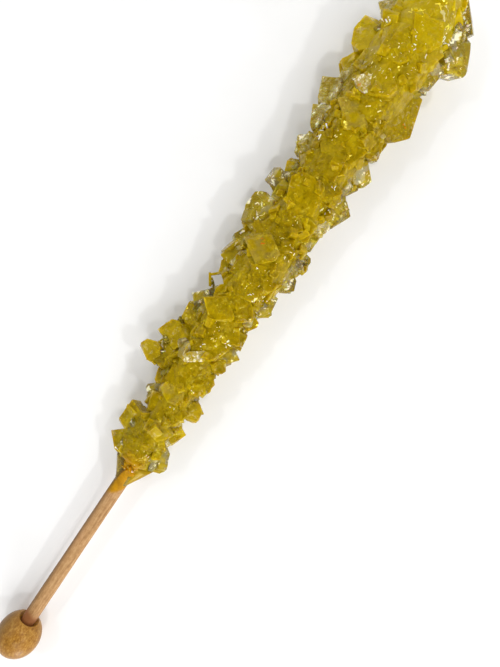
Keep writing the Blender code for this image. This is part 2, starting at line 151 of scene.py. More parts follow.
# The large crystals. Lengths are in millimetres and the heading is in degrees; the last three say how
# much each cut corner takes, how far out the crystal stands and what its finish is.
Crystal = namedtuple(
    "Crystal", "station side length width heading corners bite rise finish",
    defaults=(0.84, "cloudy"),
)
SHOWN_CRYSTALS = [Crystal(*row) for row in (
    (50.2, 3.9, 5.6, 4.6, 42, 1, 0.3, 0.84, "dense"),
    (55.6, 5.0, 5.6, 5.2, -14, 2, 0.3, 0.84, "dense"),
    (63.4, 3.8, 4.8, 4.4, 42, 0, 0.0, 0.84, "smoky"),
    (67.0, 4.4, 4.0, 3.8, 8, 1, 0.3, 0.84, "dense"),
    (58.0, -0.8, 4.8, 4.0, 52, 0, 0.0, 0.93, "beige"),
    (51.6, -3.8, 6.6, 4.0, 7, 2, 0.3, 0.84, "smoky"),
    (57.6, -3.4, 4.8, 4.2, -28, 1, 0.3, 0.84, "dense"),
    (64.3, -4.2, 4.8, 4.4, 4, 4, 0.3, 0.84, "dense"),
    (66.2, 0.8, 4.8, 4.6, 18, 4, 0.3, 0.95, "beige"),
    (70.9, 10.1, 4.8, 4.4, 62, 2, 0.35, 0.84, "dense"),
    (69.9, 9.3, 3.0, 2.8, 20, 0, 0.0, 0.84, "dense"),
    (71.6, 6.8, 6.4, 5.0, 64, 1, 0.3),
    (76.8, 7.3, 6.6, 5.6, 66, 2, 0.25, 0.84, "dense"),
    (81.7, 6.4, 5.2, 4.6, -4, 1, 0.25, 0.84, "dense"),
    (75.4, 1.3, 5.4, 2.3, -66, 4, 0.35, 0.97, "speckled"),
    (71.5, -3.2, 4.6, 3.2, 8, 1, 0.3, 0.84, "dense"),
    (76.4, -3.4, 3.8, 3.2, 20, 1, 0.3),
    (79.4, -3.6, 4.2, 3.6, 48, 0, 0.0, 0.84, "smoky"),
    (83.4, -3.6, 3.8, 3.4, -4, 0, 0.0),
    (86.0, 6.8, 4.6, 4.2, 42, 0, 0.0, 0.84, "smoky"),
    (91.9, 6.8, 4.2, 1.4, -58, 0, 0.0, 0.84, "glassy"),
    (86.3, 2.1, 6.2, 5.6, 36, 1, 0.3, 0.97, "framed"),
    (87.8, -3.7, 3.6, 3.2, 56, 1, 0.3, 0.84, "dense"),
    (94.8, 5.8, 4.2, 3.8, 4, 0, 0.0, 0.84, "dense"),
    (98.4, 7.1, 4.8, 4.6, -14, 1, 0.25),
    (102.1, 6.9, 4.8, 3.8, -42, 1, 0.25, 0.84, "glassy"),
    (92.8, -4.1, 5.6, 4.0, -3, 1, 0.3, 0.84, "smoky"),
    (99.6, -4.4, 5.6, 5.4, 12, 4, 0.3, 0.84, "glassy"),
    (102.6, -4.4, 4.6, 4.4, 70, 4, 0.3, 0.84, "frosty"),
    (105.0, -4.9, 3.6, 3.8, -4, 0, 0.0, 0.84, "glassy"),
    (102.3, 2.0, 7.0, 5.8, 46, 1, 0.3, 0.97, "beige"),
    (108.8, 6.6, 8.0, 7.2, -16, 4, 0.3, 0.84, "hazy"),
    (113.7, 5.9, 2.8, 2.6, 6, 1, 0.3, 0.84, "smoky"),
    (117.1, 6.5, 4.0, 4.0, 2, 2, 0.25, 0.84, "smoky"),
    (121.1, 5.5, 5.0, 4.8, 10, 1, 0.25, 0.84, "dense"),
    (108.4, -4.2, 2.6, 3.0, 14, 4, 0.3, 0.84, "glassy"),
    (113.4, -4.7, 4.2, 3.8, -42, 1, 0.25, 0.84, "frosty"),
    (117.8, -5.4, 6.4, 5.6, 146, 1, 0.4, 0.84, "glassy"),
    (124.6, -5.3, 4.0, 3.4, -44, 0, 0.0, 0.84, "glassy"),
    (127.5, -5.4, 5.6, 4.8, 42, 1, 0.3, 0.84, "hazy"),
    (127.0, 6.4, 5.2, 4.6, 27, 0, 0.0, 0.84, "frosty"),
    (133.2, 7.2, 5.2, 4.4, 16, 1, 0.3, 0.84, "frosty"),
    (133.2, -4.9, 5.0, 3.8, 6, 1, 0.3),
    (138.8, 8.6, 6.2, 5.0, 12, 2, 0.25, 0.84, "frosty"),
    (135.6, 1.4, 6.8, 6.0, 36, 1, 0.3, 0.92, "beige"),
    (142.6, -5.5, 10.4, 7.0, 8, 1, 0.4, 0.90, "dark"),
    (146.2, 8.0, 4.6, 4.4, 42, 0, 0.0, 0.84, "dense"),
    (141.3, 3.0, 4.0, 3.8, 42, 4, 0.2, 0.97, "speckled"),
    (152.9, 8.2, 7.8, 6.8, -20, 4, 0.3, 0.84, "dense"),
    (152.4, -6.2, 5.6, 4.0, -14, 1, 0.3, 0.84, "glassy"),
    (160.4, 7.0, 6.2, 5.2, 32, 1, 0.3, 0.84, "frosty"),
    (159.6, -8.6, 7.6, 6.2, 30, 1, 0.3, 0.84, "hazy"),
    (165.6, -5.3, 7.2, 5.6, 52, 1, 0.3, 0.84, "glassy"),
    (167.0, 1.2, 7.4, 6.2, 20, 2, 0.3),
)]
SHOWN_LIE = 0.3
TOP_SEED = 5
TOP_SWAY = 0.2
TOP_CRYSTALS = [Crystal(*row) for row in (
    (51.0, 1.3, 5.4, 4.8, 20, 1, 0.3, 0.86),
    (55.1, 2.1, 5.6, 4.6, -18, 2, 0.3, 0.88),
    (54.5, -1.6, 5.0, 4.0, 34, 1, 0.3, 0.86),
    (62.0, 2.3, 4.8, 4.2, 12, 0, 0.0, 0.88),
    (62.3, -2.0, 4.6, 4.0, -24, 1, 0.3, 0.88),
    (69.8, 2.0, 5.2, 4.4, -8, 1, 0.3, 0.88),
    (70.3, -1.6, 5.0, 4.0, 28, 2, 0.25, 0.86),
    (73.6, 4.1, 4.6, 4.0, 40, 0, 0.0, 0.86),
    (79.9, 2.2, 5.0, 4.6, 16, 1, 0.3, 0.86),
    (79.0, -1.1, 5.4, 4.6, -30, 1, 0.3, 0.88),
    (83.3, -1.8, 5.0, 4.2, 24, 0, 0.0, 0.86),
    (91.3, 3.1, 5.4, 4.8, -12, 1, 0.3, 0.86),
    (89.0, -1.4, 5.2, 4.4, 38, 2, 0.25, 0.86),
    (93.4, -0.5, 5.0, 4.4, 8, 1, 0.3, 0.86),
    (96.6, 3.3, 5.0, 4.6, -4, 0, 0.0, 0.88),
    (96.7, -0.9, 6.0, 4.8, 22, 1, 0.3, 0.88),
    (106.3, 3.1, 5.2, 4.8, -26, 1, 0.3, 0.88),
    (106.2, -0.7, 5.2, 4.4, 14, 2, 0.25, 0.86),
    (110.1, 0.8, 5.6, 4.8, 36, 0, 0.0, 0.88),
    (110.5, -2.6, 4.8, 4.2, -10, 1, 0.3, 0.86),
    (116.2, 1.3, 8.6, 7.0, 10, 4, 0.3, 0.93),
    (119.7, -2.4, 5.0, 4.4, -34, 1, 0.3, 0.86),
    (122.3, 3.1, 5.4, 5.0, 24, 1, 0.3, 0.86),
    (124.0, 0.0, 6.6, 5.6, -8, 1, 0.3, 0.88),
    (128.5, 2.3, 6.0, 5.2, 30, 2, 0.25, 0.88),
    (128.7, -1.8, 5.6, 4.8, -20, 0, 0.0, 0.86),
    (133.4, -1.5, 6.4, 5.4, 12, 1, 0.3, 0.88),
    (138.6, -1.5, 6.6, 4.6, -6, 1, 0.3, 0.88),
    (143.2, 0.5, 7.0, 6.0, 26, 1, 0.3, 0.9),
    (146.5, 4.2, 6.6, 5.8, -14, 1, 0.3, 0.88),
    (148.4, -1.0, 7.0, 6.2, 40, 2, 0.25, 0.9),
    (151.0, 2.0, 8.0, 7.0, 8, 1, 0.3, 0.93),
    (153.4, -3.0, 6.4, 5.4, -28, 1, 0.3, 0.86),
    (156.8, -0.8, 8.0, 6.2, 18, 1, 0.3, 0.95),
    (157.0, 4.4, 6.2, 5.4, -10, 0, 0.0, 0.88),
)]
FOOT_CRYSTALS = [Crystal(*row) for row in (
    (156.5, -4.8, 6.4, 5.4, 24, 1, 0.3),
    (149.5, 5.2, 6.0, 5.6, -33, 1, 0.3),
    (138.5, -4.2, 5.6, 5.0, 62, 2, 0.25),
)]
FOOT_CUT = 0.3 * MM

# What each finish does to a crystal: how clear it is, how frosted, how smoky, its own tone, and the
# colour of its glint, a painted highlight, which is amber at 1, lemon at 2 and white at 3.
Finish = namedtuple("Finish", "clarity frost smoke tone glint", defaults=(0.0,))
FINISHES = {
    "cloudy": Finish(0.26, 0.0, 0.0, 0.5),
    "dense": Finish(0.06, 0.0, 0.0, 0.5),
    "dark": Finish(0.06, 0.0, 0.0, 0.2),
    "glassy": Finish(0.90, 0.08, 0.10, 0.6),
    "frosty": Finish(0.60, 0.45, 0.08, 0.55),
    "hazy": Finish(0.76, 0.12, 0.0, 0.75),
    "beige": Finish(0.20, 0.0, 0.16, 0.62),
    "speckled": Finish(0.06, 0.85, 0.0, 0.6),
    "smoky": Finish(0.60, 0.08, 0.75, 0.4),
    "framed": Finish(0.15, 0.0, 0.0, 0.62),
    # Painted highlights: these finishes only colour the glint crystals.
    "amber": Finish(0.0, 0.0, 0.0, 0.6, 1.0),
    "lemon": Finish(0.0, 0.0, 0.0, 0.6, 2.0),
    "straw": Finish(0.0, 0.0, 0.0, 0.6, 2.45),
    "white": Finish(0.0, 0.0, 0.0, 0.6, 3.0),
}
TONE_SPREAD = 0.14
# Where the sugar turns clear: at the sides, on proud crystals and at the tip, which starts further
# along on the far side. Stations are in millimetres.
CLEAR_SIDE_START = 0.58
CLEAR_SIDE_FADE = 0.40
CLEAR_PROUD_FADE = 0.15
CLEAR_TIP_START = 156.0
CLEAR_TIP_SLANT = 0.6
CLEAR_TIP_FADE = 6.0

# Finer crystals than the solids have: small ones in the seams where the large ones meet, and low
# growth steps on the large ones' faces.
SMALL_SEED = 23
SEAM_COUNT = 380
SMALL_WIDTH = (0.7, 0.95)
SEAM_LENGTH = (1.0 * MM, 2.6 * MM)
CRUST_COUNT = 340
CRUST_LENGTH = (1.5 * MM, 3.2 * MM)
CRUST_PROUD = (0.10 * MM, 0.5 * MM)
FILL_FINISHES = ("cloudy", "glassy", "dense", "frosty", "cloudy", "glassy", "dense")
INNER_FINISHES = ("cloudy", "dense", "cloudy", "dense", "cloudy", "dense", "cloudy", "framed")
OUTER_FINISHES = ("cloudy", "cloudy", "glassy", "glassy", "glassy", "frosty", "frosty", "smoky")
OUTER_SHARE = 0.66
# Glints: painted highlights, made as clusters of slim clean-faced crystals set into the top of the
# candy and coloured white, lemon, straw or amber. Each has the station and the side of its middle, how
# far it spreads, how many there are, their length and their finish.
Glints = namedtuple("Glints", "station side spread count length finish")
GLINTS = [Glints(*row) for row in (
    (47.1, -1.0, 0.3, 3, 0.5, "white"),
    (48.4, 4.4, 0.3, 3, 0.9, "white"),
    (51.5, -2.2, 0.5, 3, 0.5, "white"),
    (50.0, -1.4, 1.3, 5, 0.35, "straw"),
    (63.9, -0.7, 0.2, 2, 0.8, "white"),
    (69.2, -2.4, 0.3, 3, 0.6, "white"),
    (79.0, 1.8, 0.25, 3, 0.9, "white"),
    (80.5, -1.4, 1.0, 8, 0.6, "straw"),
    (81.6, -2.7, 0.3, 3, 0.9, "white"),
    (90.7, -4.1, 0.3, 2, 0.7, "white"),
    (93.0, -0.9, 0.3, 3, 0.5, "white"),
    (92.4, -2.3, 0.4, 5, 0.6, "white"),
    (93.5, -4.3, 0.4, 4, 0.6, "white"),
    (93.6, -3.2, 0.4, 4, 0.7, "straw"),
    (98.5, 1.2, 0.4, 2, 0.9, "white"),
    (103.5, -2.5, 0.3, 3, 0.6, "white"),
    (105.6, -3.9, 0.4, 3, 0.8, "white"),
    (107.3, 7.4, 0.4, 3, 1.3, "white"),
    (108.6, 6.4, 0.4, 3, 0.6, "straw"),
    (111.0, -1.0, 0.8, 4, 0.6, "straw"),
    (117.0, -4.6, 0.4, 3, 1.0, "white"),
    (116.0, -3.6, 0.3, 3, 0.7, "straw"),
    (121.5, -3.0, 0.4, 3, 0.7, "white"),
    (128.0, 5.7, 0.6, 4, 1.1, "white"),
    (130.4, 6.2, 0.5, 4, 1.1, "white"),
    (132.0, 7.8, 0.3, 3, 0.9, "white"),
    (130.1, 2.8, 0.6, 5, 0.7, "straw"),
    (137.6, -2.1, 0.8, 5, 0.8, "straw"),
    (135.8, 9.8, 0.3, 3, 1.2, "white"),
    (142.2, 6.4, 0.4, 3, 0.8, "white"),
    (145.6, 1.4, 0.8, 5, 0.5, "straw"),
    (150.0, 4.2, 0.7, 5, 0.7, "lemon"),
    (148.6, -1.6, 0.8, 5, 0.5, "straw"),
    (152.2, -1.1, 0.3, 3, 0.6, "white"),
    (154.4, 0.4, 0.3, 4, 0.5, "white"),
    (152.9, -3.9, 0.2, 2, 0.8, "white"),
    (157.2, 0.9, 0.4, 3, 1.0, "lemon"),
    (158.2, 2.6, 0.8, 8, 0.9, "lemon"),
    (161.6, -0.6, 0.5, 6, 1.4, "lemon"),
    (155.2, 7.4, 0.8, 6, 1.2, "white"),
    (154.6, -9.0, 0.6, 3, 1.1, "white"),
    (157.6, -8.4, 0.7, 5, 1.1, "white"),
    (159.6, -5.0, 0.7, 6, 1.3, "white"),
    (160.8, -4.0, 0.6, 5, 1.1, "lemon"),
    (161.4, -6.6, 0.5, 4, 1.0, "white"),
    (147.0, 3.0, 2.2, 16, 0.5, "straw"),
    (152.0, 1.0, 2.4, 16, 0.5, "straw"),
    (142.0, 0.5, 2.0, 10, 0.5, "straw"),
    (97.0, -1.0, 2.4, 12, 0.45, "straw"),
    (83.0, 0.5, 2.4, 14, 0.45, "straw"),
    (105.0, 0.0, 2.0, 8, 0.45, "straw"),
    (140.6, 4.2, 0.25, 3, 0.8, "amber"),
    (142.0, -8.2, 0.2, 3, 0.8, "amber"),
    (103.6, 2.7, 0.3, 4, 0.8, "amber"),
)]
GLINT_SEED = 41
GLINT_SLIMNESS = (0.20, 0.42)
GLINT_LENGTH = (0.5, 1.2)
GLINT_TILT = 0.4
GLINT_PROUD = 0.06 * MM
GLINT_DROP = 20.0 * MM
# Faces that nothing small has grown on: station, side and radius.
BARE_FACES = (
    (75.4, 1.3, 2.4), (141.3, 3.0, 2.0), (86.3, 2.1, 3.0), (142.4, -6.4, 4.2), (102.4, 2.0, 2.6),
)
# The see-through gap between two crystals of the far side, and the slim arms that close it. Each arm
# has its station, side and length in millimetres, and its heading in degrees.
GAP_PLACE = (91.6, 6.9)
GAP_SIDES = (2.5, 2.2)
GAP_HEADING = math.radians(38.0)
ARMS = ((90.7, 8.45, 3.0, 22.0), (92.9, 7.6, 3.4, -60.0))
ARM_THICKNESS = 0.6 * MM
ARM_HEIGHT = 0.4 * MM
ARM_PALENESS = 0.2
CUTTER_HEIGHT = 40.0 * MM
TABLE_SIZE = (0.5, 0.1, 0.02)
STEP_COUNT = 330
STEP_LENGTH = (1.6 * MM, 4.2 * MM)
STEP_PROUD = (0.05 * MM, 0.22 * MM)
STEP_TILT = 0.09
STEP_STRAY = 0.6
STEP_TONE_SPREAD = 0.12
STEP_LEAST_FACE = 1.2 * MM**2
STEP_MOST_FROST = 0.6
CONCAVE = math.radians(-24.0)
COLLAR_COUNT = 46
COLLAR_LENGTH = (1.1 * MM, 2.4 * MM)
COLLAR_STATIONS = (45.7 * MM, 49.4 * MM)
COLLAR_LEAD = 1.8 * MM
COLLAR_SINK = 0.4 * MM
COLLAR_FLARE = 3.4 * MM
COLLAR_SPREAD = 2.2 * MM
COLLAR_MOST_SPREAD = 1.3
# Where the syrup's orange stain starts on the dowel, how its edge slants and frays, and where the
# last of it shows in the candy.
STAIN_START = 39.7 * MM
STAIN_EDGE = (0.6 * MM, 1.9 * MM)
STAIN_SLANT = 0.9
STAIN_FRAY = 2.6 * MM
STAIN_END = 52.0 * MM
STAIN_FADE = 6.0 * MM
STAIN_SIDES = (3.4 * MM, 1.2 * MM)
# Where the other finishes change, and where light and shade are painted: whiter glass on the lit side,
# and painted shade on the dowel's far side, at its mouth and on the ball's far side.
BRIGHT_TIP = (136.0 * MM, 30.0 * MM)
WHITER_LIT_SIDE = (1.0 * MM, -4.0 * MM)
FILM_SIDE = (0.6 * MM, 1.6 * MM)
FAR_SIDE_SHADE_SPAN = (0.7 * MM, 1.6 * MM)
BIRCH_SHADE = 6.3 * MM
BIRCH_SHADE_EDGE = (0.8 * MM, 0.7 * MM)
BALL_SHADE = (0.2 * MM, 4.8 * MM)
# The web of sugar at the neck: the station and radius of its outer and its inner face, in millimetres.
WEB_OUTER = ((41.9, 1.60), (42.6, 1.80), (43.6, 2.30), (45.0, 3.1), (46.4, 3.9), (47.9, 4.75))
WEB_INNER = ((47.9, 4.25), (46.4, 3.45), (45.2, 2.75), (44.4, 2.2), (43.8, 1.60), (42.8, 1.58))
WEB_FLATNESS = 0.52
WEB_START = 41.9 * MM
WEB_SPREAD = 2.2 * MM
WEB_WAVES = 9.0
WEB_WAVE = 0.3
WEB_SIDES = 48

# Softened edges: how wide they are and in how many steps they turn.
LARGE_EDGES = (0.26 * MM, 3)
SMALL_EDGES = (0.10 * MM, 1)
ARM_EDGES = (0.10 * MM, 2)
GLINT_EDGES = (0.04 * MM, 1)
HEART_EDGES = (0.02 * MM, 1)
BOX_ROOM = 0.02 * MM
WELD = 0.001 * MM

DOWEL_RINGS = 220
DOWEL_SIDES = 64
DOWEL_DIP = 0.04
DOWEL_DIP_SCALE = (110.0, 500.0)
DOWEL_SHARP = math.radians(40.0)
BALL_RINGS = 56
BALL_SIDES = 96
BALL_SHARP = math.radians(35.0)


# ---------------------------------------------------------------- the frame the pieces are laid in

ball_low, ball_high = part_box("ball")
BALL_CENTRE = Vector((
    ball_low.x + BALL_RADIUS * math.cos(STICK_RISE),
    (ball_low.y + ball_high.y) / 2,
    BALL_RADIUS - BALL_FLAT_DEPTH,
))
LYING = Matrix.Translation(BALL_CENTRE) @ Matrix.Rotation(-STICK_RISE, 4, "Y")


def move(shape, matrix):
    bmesh.ops.transform(shape, matrix=matrix, verts=shape.verts)


def shift(shape, way):
    bmesh.ops.translate(shape, vec=way, verts=shape.verts)


def placed_object(name, shape, material=None):
    """Makes a shape into an object where it stands."""
    mesh = bpy.data.meshes.new(name)
    shape.to_mesh(mesh)
    shape.free()
    made = bpy.data.objects.new(name, mesh)
    bpy.context.scene.collection.objects.link(made)
    if material is not None:
        mesh.materials.append(material)
    return made


def laid_object(name, shape, material=None):
    """Lays a shape down from the stick's own frame and makes it into an object."""
    move(shape, LYING)
    return placed_object(name, shape, material)


def turned(profile, segments, ring=False):
    """A solid of revolution about X, from a profile of (station, radius).

    The profile runs from axis to axis, or, for a ring, all the way round.
    """
    shape = bmesh.new()
    points = [shape.verts.new((station, 0.0, radius)) for station, radius in profile]
    after = points[1:] + points[:1] if ring else points[1:]
    edges = [shape.edges.new(pair) for pair in zip(points, after)]
    bmesh.ops.spin(
        shape, geom=points + edges, cent=(0.0, 0.0, 0.0), axis=(1.0, 0.0, 0.0),
        angle=math.tau, steps=segments, use_merge=True,
    )
    bmesh.ops.remove_doubles(shape, verts=shape.verts, dist=WELD)
    bmesh.ops.recalc_face_normals(shape, faces=shape.faces)
    return shape


# ---------------------------------------------------------------- crystals

def candy_reach(station, bearing):
    """How far the candy grows from the axis at a station. Bearings run from up (0) towards +Y."""
    far_side, near_side = CANDY_OUTLINE[-1][1:]
    for low, high in zip(CANDY_OUTLINE, CANDY_OUTLINE[1:]):
        if station <= high[0] * MM:
            share = max(0.0, (station / MM - low[0]) / (high[0] - low[0]))
            far_side = low[1] + (high[1] - low[1]) * share
            near_side = low[2] + (high[2] - low[2]) * share
            break
    middle = (far_side + near_side) / 2
    lopsided = (far_side - near_side) / 2
    return (middle + lopsided * math.sin(bearing)) * MM


def cut_off(shape, point, normal):
    found = bmesh.ops.bisect_plane(
        shape, geom=shape.verts[:] + shape.edges[:] + shape.faces[:], dist=WELD,
        plane_co=point, plane_no=normal, clear_outer=True,
    )
    rim = [item for item in found["geom_cut"] if isinstance(item, bmesh.types.BMEdge)]
    if rim:
        bmesh.ops.contextual_create(shape, geom=rim)


def leaning_block(length, width, depth):
    shape = bmesh.new()
    bmesh.ops.create_cube(shape, size=1.0)
    bmesh.ops.scale(shape, vec=(length, width, depth), verts=shape.verts)
    move(shape, Matrix.Shear("YZ", 4, (LEAN, 0.0)))
    return shape


def cut_corners(shape, width, corners, bite):
    taken = bite * width
    for east, north in ((-1, -1), (1, -1), (1, 1), (-1, 1))[:corners]:
        slant = Vector((east, north, 0.0)).normalized()
        corner = max(vertex.co.dot(slant) for vertex in shape.verts)
        cut_off(shape, slant * (corner - taken * math.sqrt(0.5)), slant)


def cut_edges(shape, rng):
    ways = [(1, 0), (-1, 0), (0, 1), (0, -1)]
    for count in range(EDGE_CUTS):
        east, north = rng.choice(ways)
        up = 1 if count else -1
        slant = Vector((east, north, up * rng.uniform(*EDGE_CUT_SLOPE))).normalized()
        furthest = max(vertex.co.dot(slant) for vertex in shape.verts)
        cut_off(shape, slant * furthest * rng.uniform(*EDGE_CUT_KEEP), slant)


def middle_of(shape):
    return sum((vertex.co for vertex in shape.verts), Vector()) / len(shape.verts)


def away_at(bearing):
    return Vector((0.0, math.sin(bearing), math.cos(bearing)))


def place_at_reach(shape, foot, away, reach):
    """Where a shape goes for its furthest point to lie at a reach from a foot."""
    furthest = max(vertex.co.dot(away) for vertex in shape.verts)
    return foot + away * (reach - furthest)


def any_turn(rng):
    way = Vector([rng.gauss(0.0, 1.0) for _ in range(3)]).normalized()
    return Matrix.Rotation(rng.uniform(0.0, math.tau), 4, way)


def axis_height(station):
    """How high the stick's axis lies over the table at a station."""
    return station * math.sin(STICK_RISE) + BALL_RADIUS - BALL_FLAT_DEPTH


def listed_crystal(crystal, rng):
    width = crystal.width * MM
    depth = width * rng.uniform(*DEPTH_TO_WIDTH)
    shape = leaning_block(crystal.length * MM, width, depth)
    cut_corners(shape, width, crystal.corners, crystal.bite)
    cut_edges(shape, rng)
    turn = Matrix.Rotation(math.radians(crystal.heading), 4, "Z")
    move(shape, turn)
    return shape, depth


def shown_crystal(crystal, rng):
    shape, depth = listed_crystal(crystal, rng)
    station = crystal.station * MM
    side = crystal.side * MM
    ring = crystal.rise * candy_reach(station, 0.0) - depth / 2
    height = math.sqrt(max(0.0, ring**2 - side**2))
    lie = Matrix.Rotation(-math.atan2(side, height) * SHOWN_LIE, 4, "X")
    place = Matrix.Translation((station, side, height))
    move(shape, place @ lie)
    return shape


def top_crystal(crystal, rng):
    shape = shown_crystal(crystal, rng)
    tilt = Matrix.Rotation(rng.uniform(-TOP_SWAY, TOP_SWAY), 3, "X")
    tilt @= Matrix.Rotation(rng.uniform(-TOP_SWAY, TOP_SWAY), 3, "Y")
    bmesh.ops.rotate(shape, cent=middle_of(shape), matrix=tilt, verts=shape.verts)
    return shape


def foot_crystal(crystal, rng):
    shape, depth = listed_crystal(crystal, rng)
    station = crystal.station * MM
    height = depth / 2 - FOOT_CUT - axis_height(station)
    level = Matrix.Rotation(STICK_RISE, 4, "Y")
    place = Matrix.Translation((station, crystal.side * MM, height))
    move(shape, place @ level)
    return shape


def fill_crystal(count, rng):
    share = (count + rng.uniform(*FILL_STRAY)) / FILL_COUNT
    station = FILL_START + (FILL_END - FILL_START) * share
    bearing = count * GOLDEN_ANGLE + rng.uniform(-FILL_SWAY, FILL_SWAY)
    grown = candy_reach(station, bearing)
    length = grown * rng.uniform(*FILL_LENGTH)
    width = length * rng.uniform(*FILL_WIDTH)
    shape = leaning_block(length, width, width * rng.uniform(*DEPTH_TO_WIDTH))
    cut_corners(shape, width, rng.choice(FILL_CORNERS), rng.uniform(*FILL_BITE))
    cut_edges(shape, rng)
    roll = Matrix.Rotation(rng.uniform(0.0, math.tau), 4, "X")
    stand = Matrix.Rotation(-math.pi / 2, 4, "Y")
    tilt = Matrix.Rotation(rng.uniform(-FILL_TILT, FILL_TILT), 4, "Y")
    around = Matrix.Rotation(-bearing, 4, "X")
    move(shape, around @ tilt @ stand @ roll)
    away = away_at(bearing)
    reach = grown * rng.uniform(*FILL_REACH) * (1.0 - FILL_TOP_ROOM * max(0.0, away.z))
    down = -away.z
    if down > UNDERSIDE:
        reach = min(reach, (axis_height(station) + TABLE_CUT) / down)
    place = place_at_reach(shape, Vector((station, 0.0, 0.0)), away, reach)
    shift(shape, place)
    return shape


def small_block(length, rng):
    width = length * rng.uniform(*SMALL_WIDTH)
    depth = width * rng.uniform(*DEPTH_TO_WIDTH)
    shape = leaning_block(length, width, depth)
    cut_corners(shape, width, rng.choice(FILL_CORNERS), rng.uniform(*FILL_BITE))
    cut_edges(shape, rng)
    return shape


def seam_crystal(edge, rng):
    """A small crystal at any roll, centred on a seam between two large ones."""
    shape = small_block(rng.uniform(*SEAM_LENGTH), rng)
    turn = any_turn(rng)
    start, end = (vertex.co for vertex in edge.verts)
    place = start.lerp(end, rng.random())
    move(shape, Matrix.Translation(place) @ turn)
    return shape


def heart_reach(station, bearing):
    """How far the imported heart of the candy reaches, which is less at its sides than at its top."""
    side = math.sin(bearing)**2
    share = HEART_SHARE + (HEART_SIDE_SHARE - HEART_SHARE) * side
    swell = min(1.0, max(0.0, (station / MM - HEART_SWELL_START) / HEART_SWELL_LENGTH))
    share += HEART_TIP_EXTRA * swell
    thin = min(1.0, max(0.0, (station / MM - HEART_THIN_START) / HEART_THIN_LENGTH))
    share -= HEART_TIP_CLEAR * thin * max(0.0, -math.sin(bearing))
    return share * candy_reach(station, bearing)


def crust_crystal(rng):
    """One of the small crystals that the heart is grown over with, at any roll."""
    shape = small_block(rng.uniform(*CRUST_LENGTH), rng)
    move(shape, any_turn(rng))
    station = rng.uniform(FILL_START, FILL_END)
    bearing = rng.uniform(0.0, math.tau)
    away = away_at(bearing)
    reach = heart_reach(station, bearing) + rng.uniform(*CRUST_PROUD)
    place = place_at_reach(shape, Vector((station, 0.0, 0.0)), away, reach)
    move(shape, LYING @ Matrix.Translation(place))
    return shape, bearing


def collar_crystal(rng):
    """One of the small crystals that start the candy round the dowel."""
    shape = small_block(rng.uniform(*COLLAR_LENGTH), rng)
    turn = any_turn(rng)
    bearing = rng.uniform(0.0, math.tau)
    early = COLLAR_LEAD * max(0.0, -math.sin(bearing))
    station = rng.uniform(COLLAR_STATIONS[0] - early, COLLAR_STATIONS[1])
    spread = max(0.0, (station + early - COLLAR_STATIONS[0]) / COLLAR_FLARE)
    spread = min(COLLAR_MOST_SPREAD, spread)
    radius = STICK_RADIUS - COLLAR_SINK + rng.uniform(0.0, COLLAR_SPREAD) * spread
    place = Vector((station, radius * math.sin(bearing), radius * math.cos(bearing)))
    turn = LYING @ Matrix.Translation(place) @ turn
    move(shape, turn)
    return shape


def glint(surface, cluster, rng):
    """One slim crystal of a cluster of glints, set into the top of the candy to carry a painted
    highlight.
    """
    station = (cluster.station + rng.gauss(0.0, cluster.spread)) * MM
    side = (cluster.side + rng.gauss(0.0, cluster.spread)) * MM
    above = LYING @ Vector((station, side, GLINT_DROP))
    spot, normal = surface.ray_cast(above, Vector((0.0, 0.0, -1.0)))[:2]
    length = cluster.length * rng.uniform(*GLINT_LENGTH) * MM
    width = length * rng.uniform(*GLINT_SLIMNESS)
    shape = leaning_block(length, width, width)
    turn = Matrix.Rotation(rng.uniform(0.0, math.tau), 4, "Z")
    tilt = Matrix.Rotation(rng.uniform(-GLINT_TILT, GLINT_TILT), 4, "X")
    if spot is None:
        return None
    stand = normal.to_track_quat("Z", "Y").to_matrix().to_4x4()
    move(shape, stand @ tilt @ turn)
    place = place_at_reach(shape, spot, normal, GLINT_PROUD)
    shift(shape, place)
    return shape


def growth_step(face, rng):
    """A low step on a large crystal's face, nearly parallel to it."""
    shape = small_block(rng.uniform(*STEP_LENGTH), rng)
    corners = [vertex.co for vertex in face.verts]
    middle = face.calc_center_median()
    foot = middle.lerp(rng.choice(corners), rng.uniform(0.0, STEP_STRAY))
    turn = Matrix.Rotation(rng.uniform(0.0, math.tau), 4, "Z")
    tilt = Matrix.Rotation(rng.uniform(-STEP_TILT, STEP_TILT), 4, "X")
    tilt @= Matrix.Rotation(rng.uniform(-STEP_TILT, STEP_TILT), 4, "Y")
    stand = face.normal.to_track_quat("Z", "Y").to_matrix().to_4x4()
    move(shape, stand @ tilt @ turn)
    place = place_at_reach(shape, foot, face.normal, rng.uniform(*STEP_PROUD))
    shift(shape, place)
    return shape


def soften(shape, width, segments):
    """Rounds every edge and returns the rounded faces, which are worn pale."""
    found = bmesh.ops.bevel(
        shape, geom=shape.verts[:] + shape.edges[:], offset=width, affect="EDGES",
        segments=segments, profile=0.5, material=-1, clamp_overlap=True,
    )
    return found["faces"]


NOTES = ("tone", "clarity", "frost", "smoke", "glint")


def finished_crystal(shape, look, edges):
    """Softens a crystal and notes its finish on its faces, for the sugar's material to read."""
    worn = set(soften(shape, *edges))
    layers = [shape.faces.layers.float.new(name) for name in NOTES]
    wear = shape.faces.layers.float.new("wear")
    for face in shape.faces:
        for layer, value in zip(layers, look):
            face[layer] = value
        face[wear] = 1.0 if face in worn else 0.0
    return shape


def finish_of(name, shift=0.0):
    """A finish's notes, in the order of NOTES, with its tone shifted."""
    look = FINISHES[name]
    tone = min(1.0, max(0.0, look.tone + shift))
    return (tone, look.clarity, look.frost, look.smoke, look.glint)


def toned(name, rng):
    return finish_of(name, rng.uniform(-TONE_SPREAD, TONE_SPREAD))


def small_finish(outer, rng):
    return toned(rng.choice(OUTER_FINISHES if outer else INNER_FINISHES), rng)


def side_share(point):
    """How far out to its side a point of the candy lies, as a share of the candy's reach there."""
    bearing = math.copysign(math.pi / 2, point.y)
    return abs(point.y) / candy_reach(point.x, bearing)


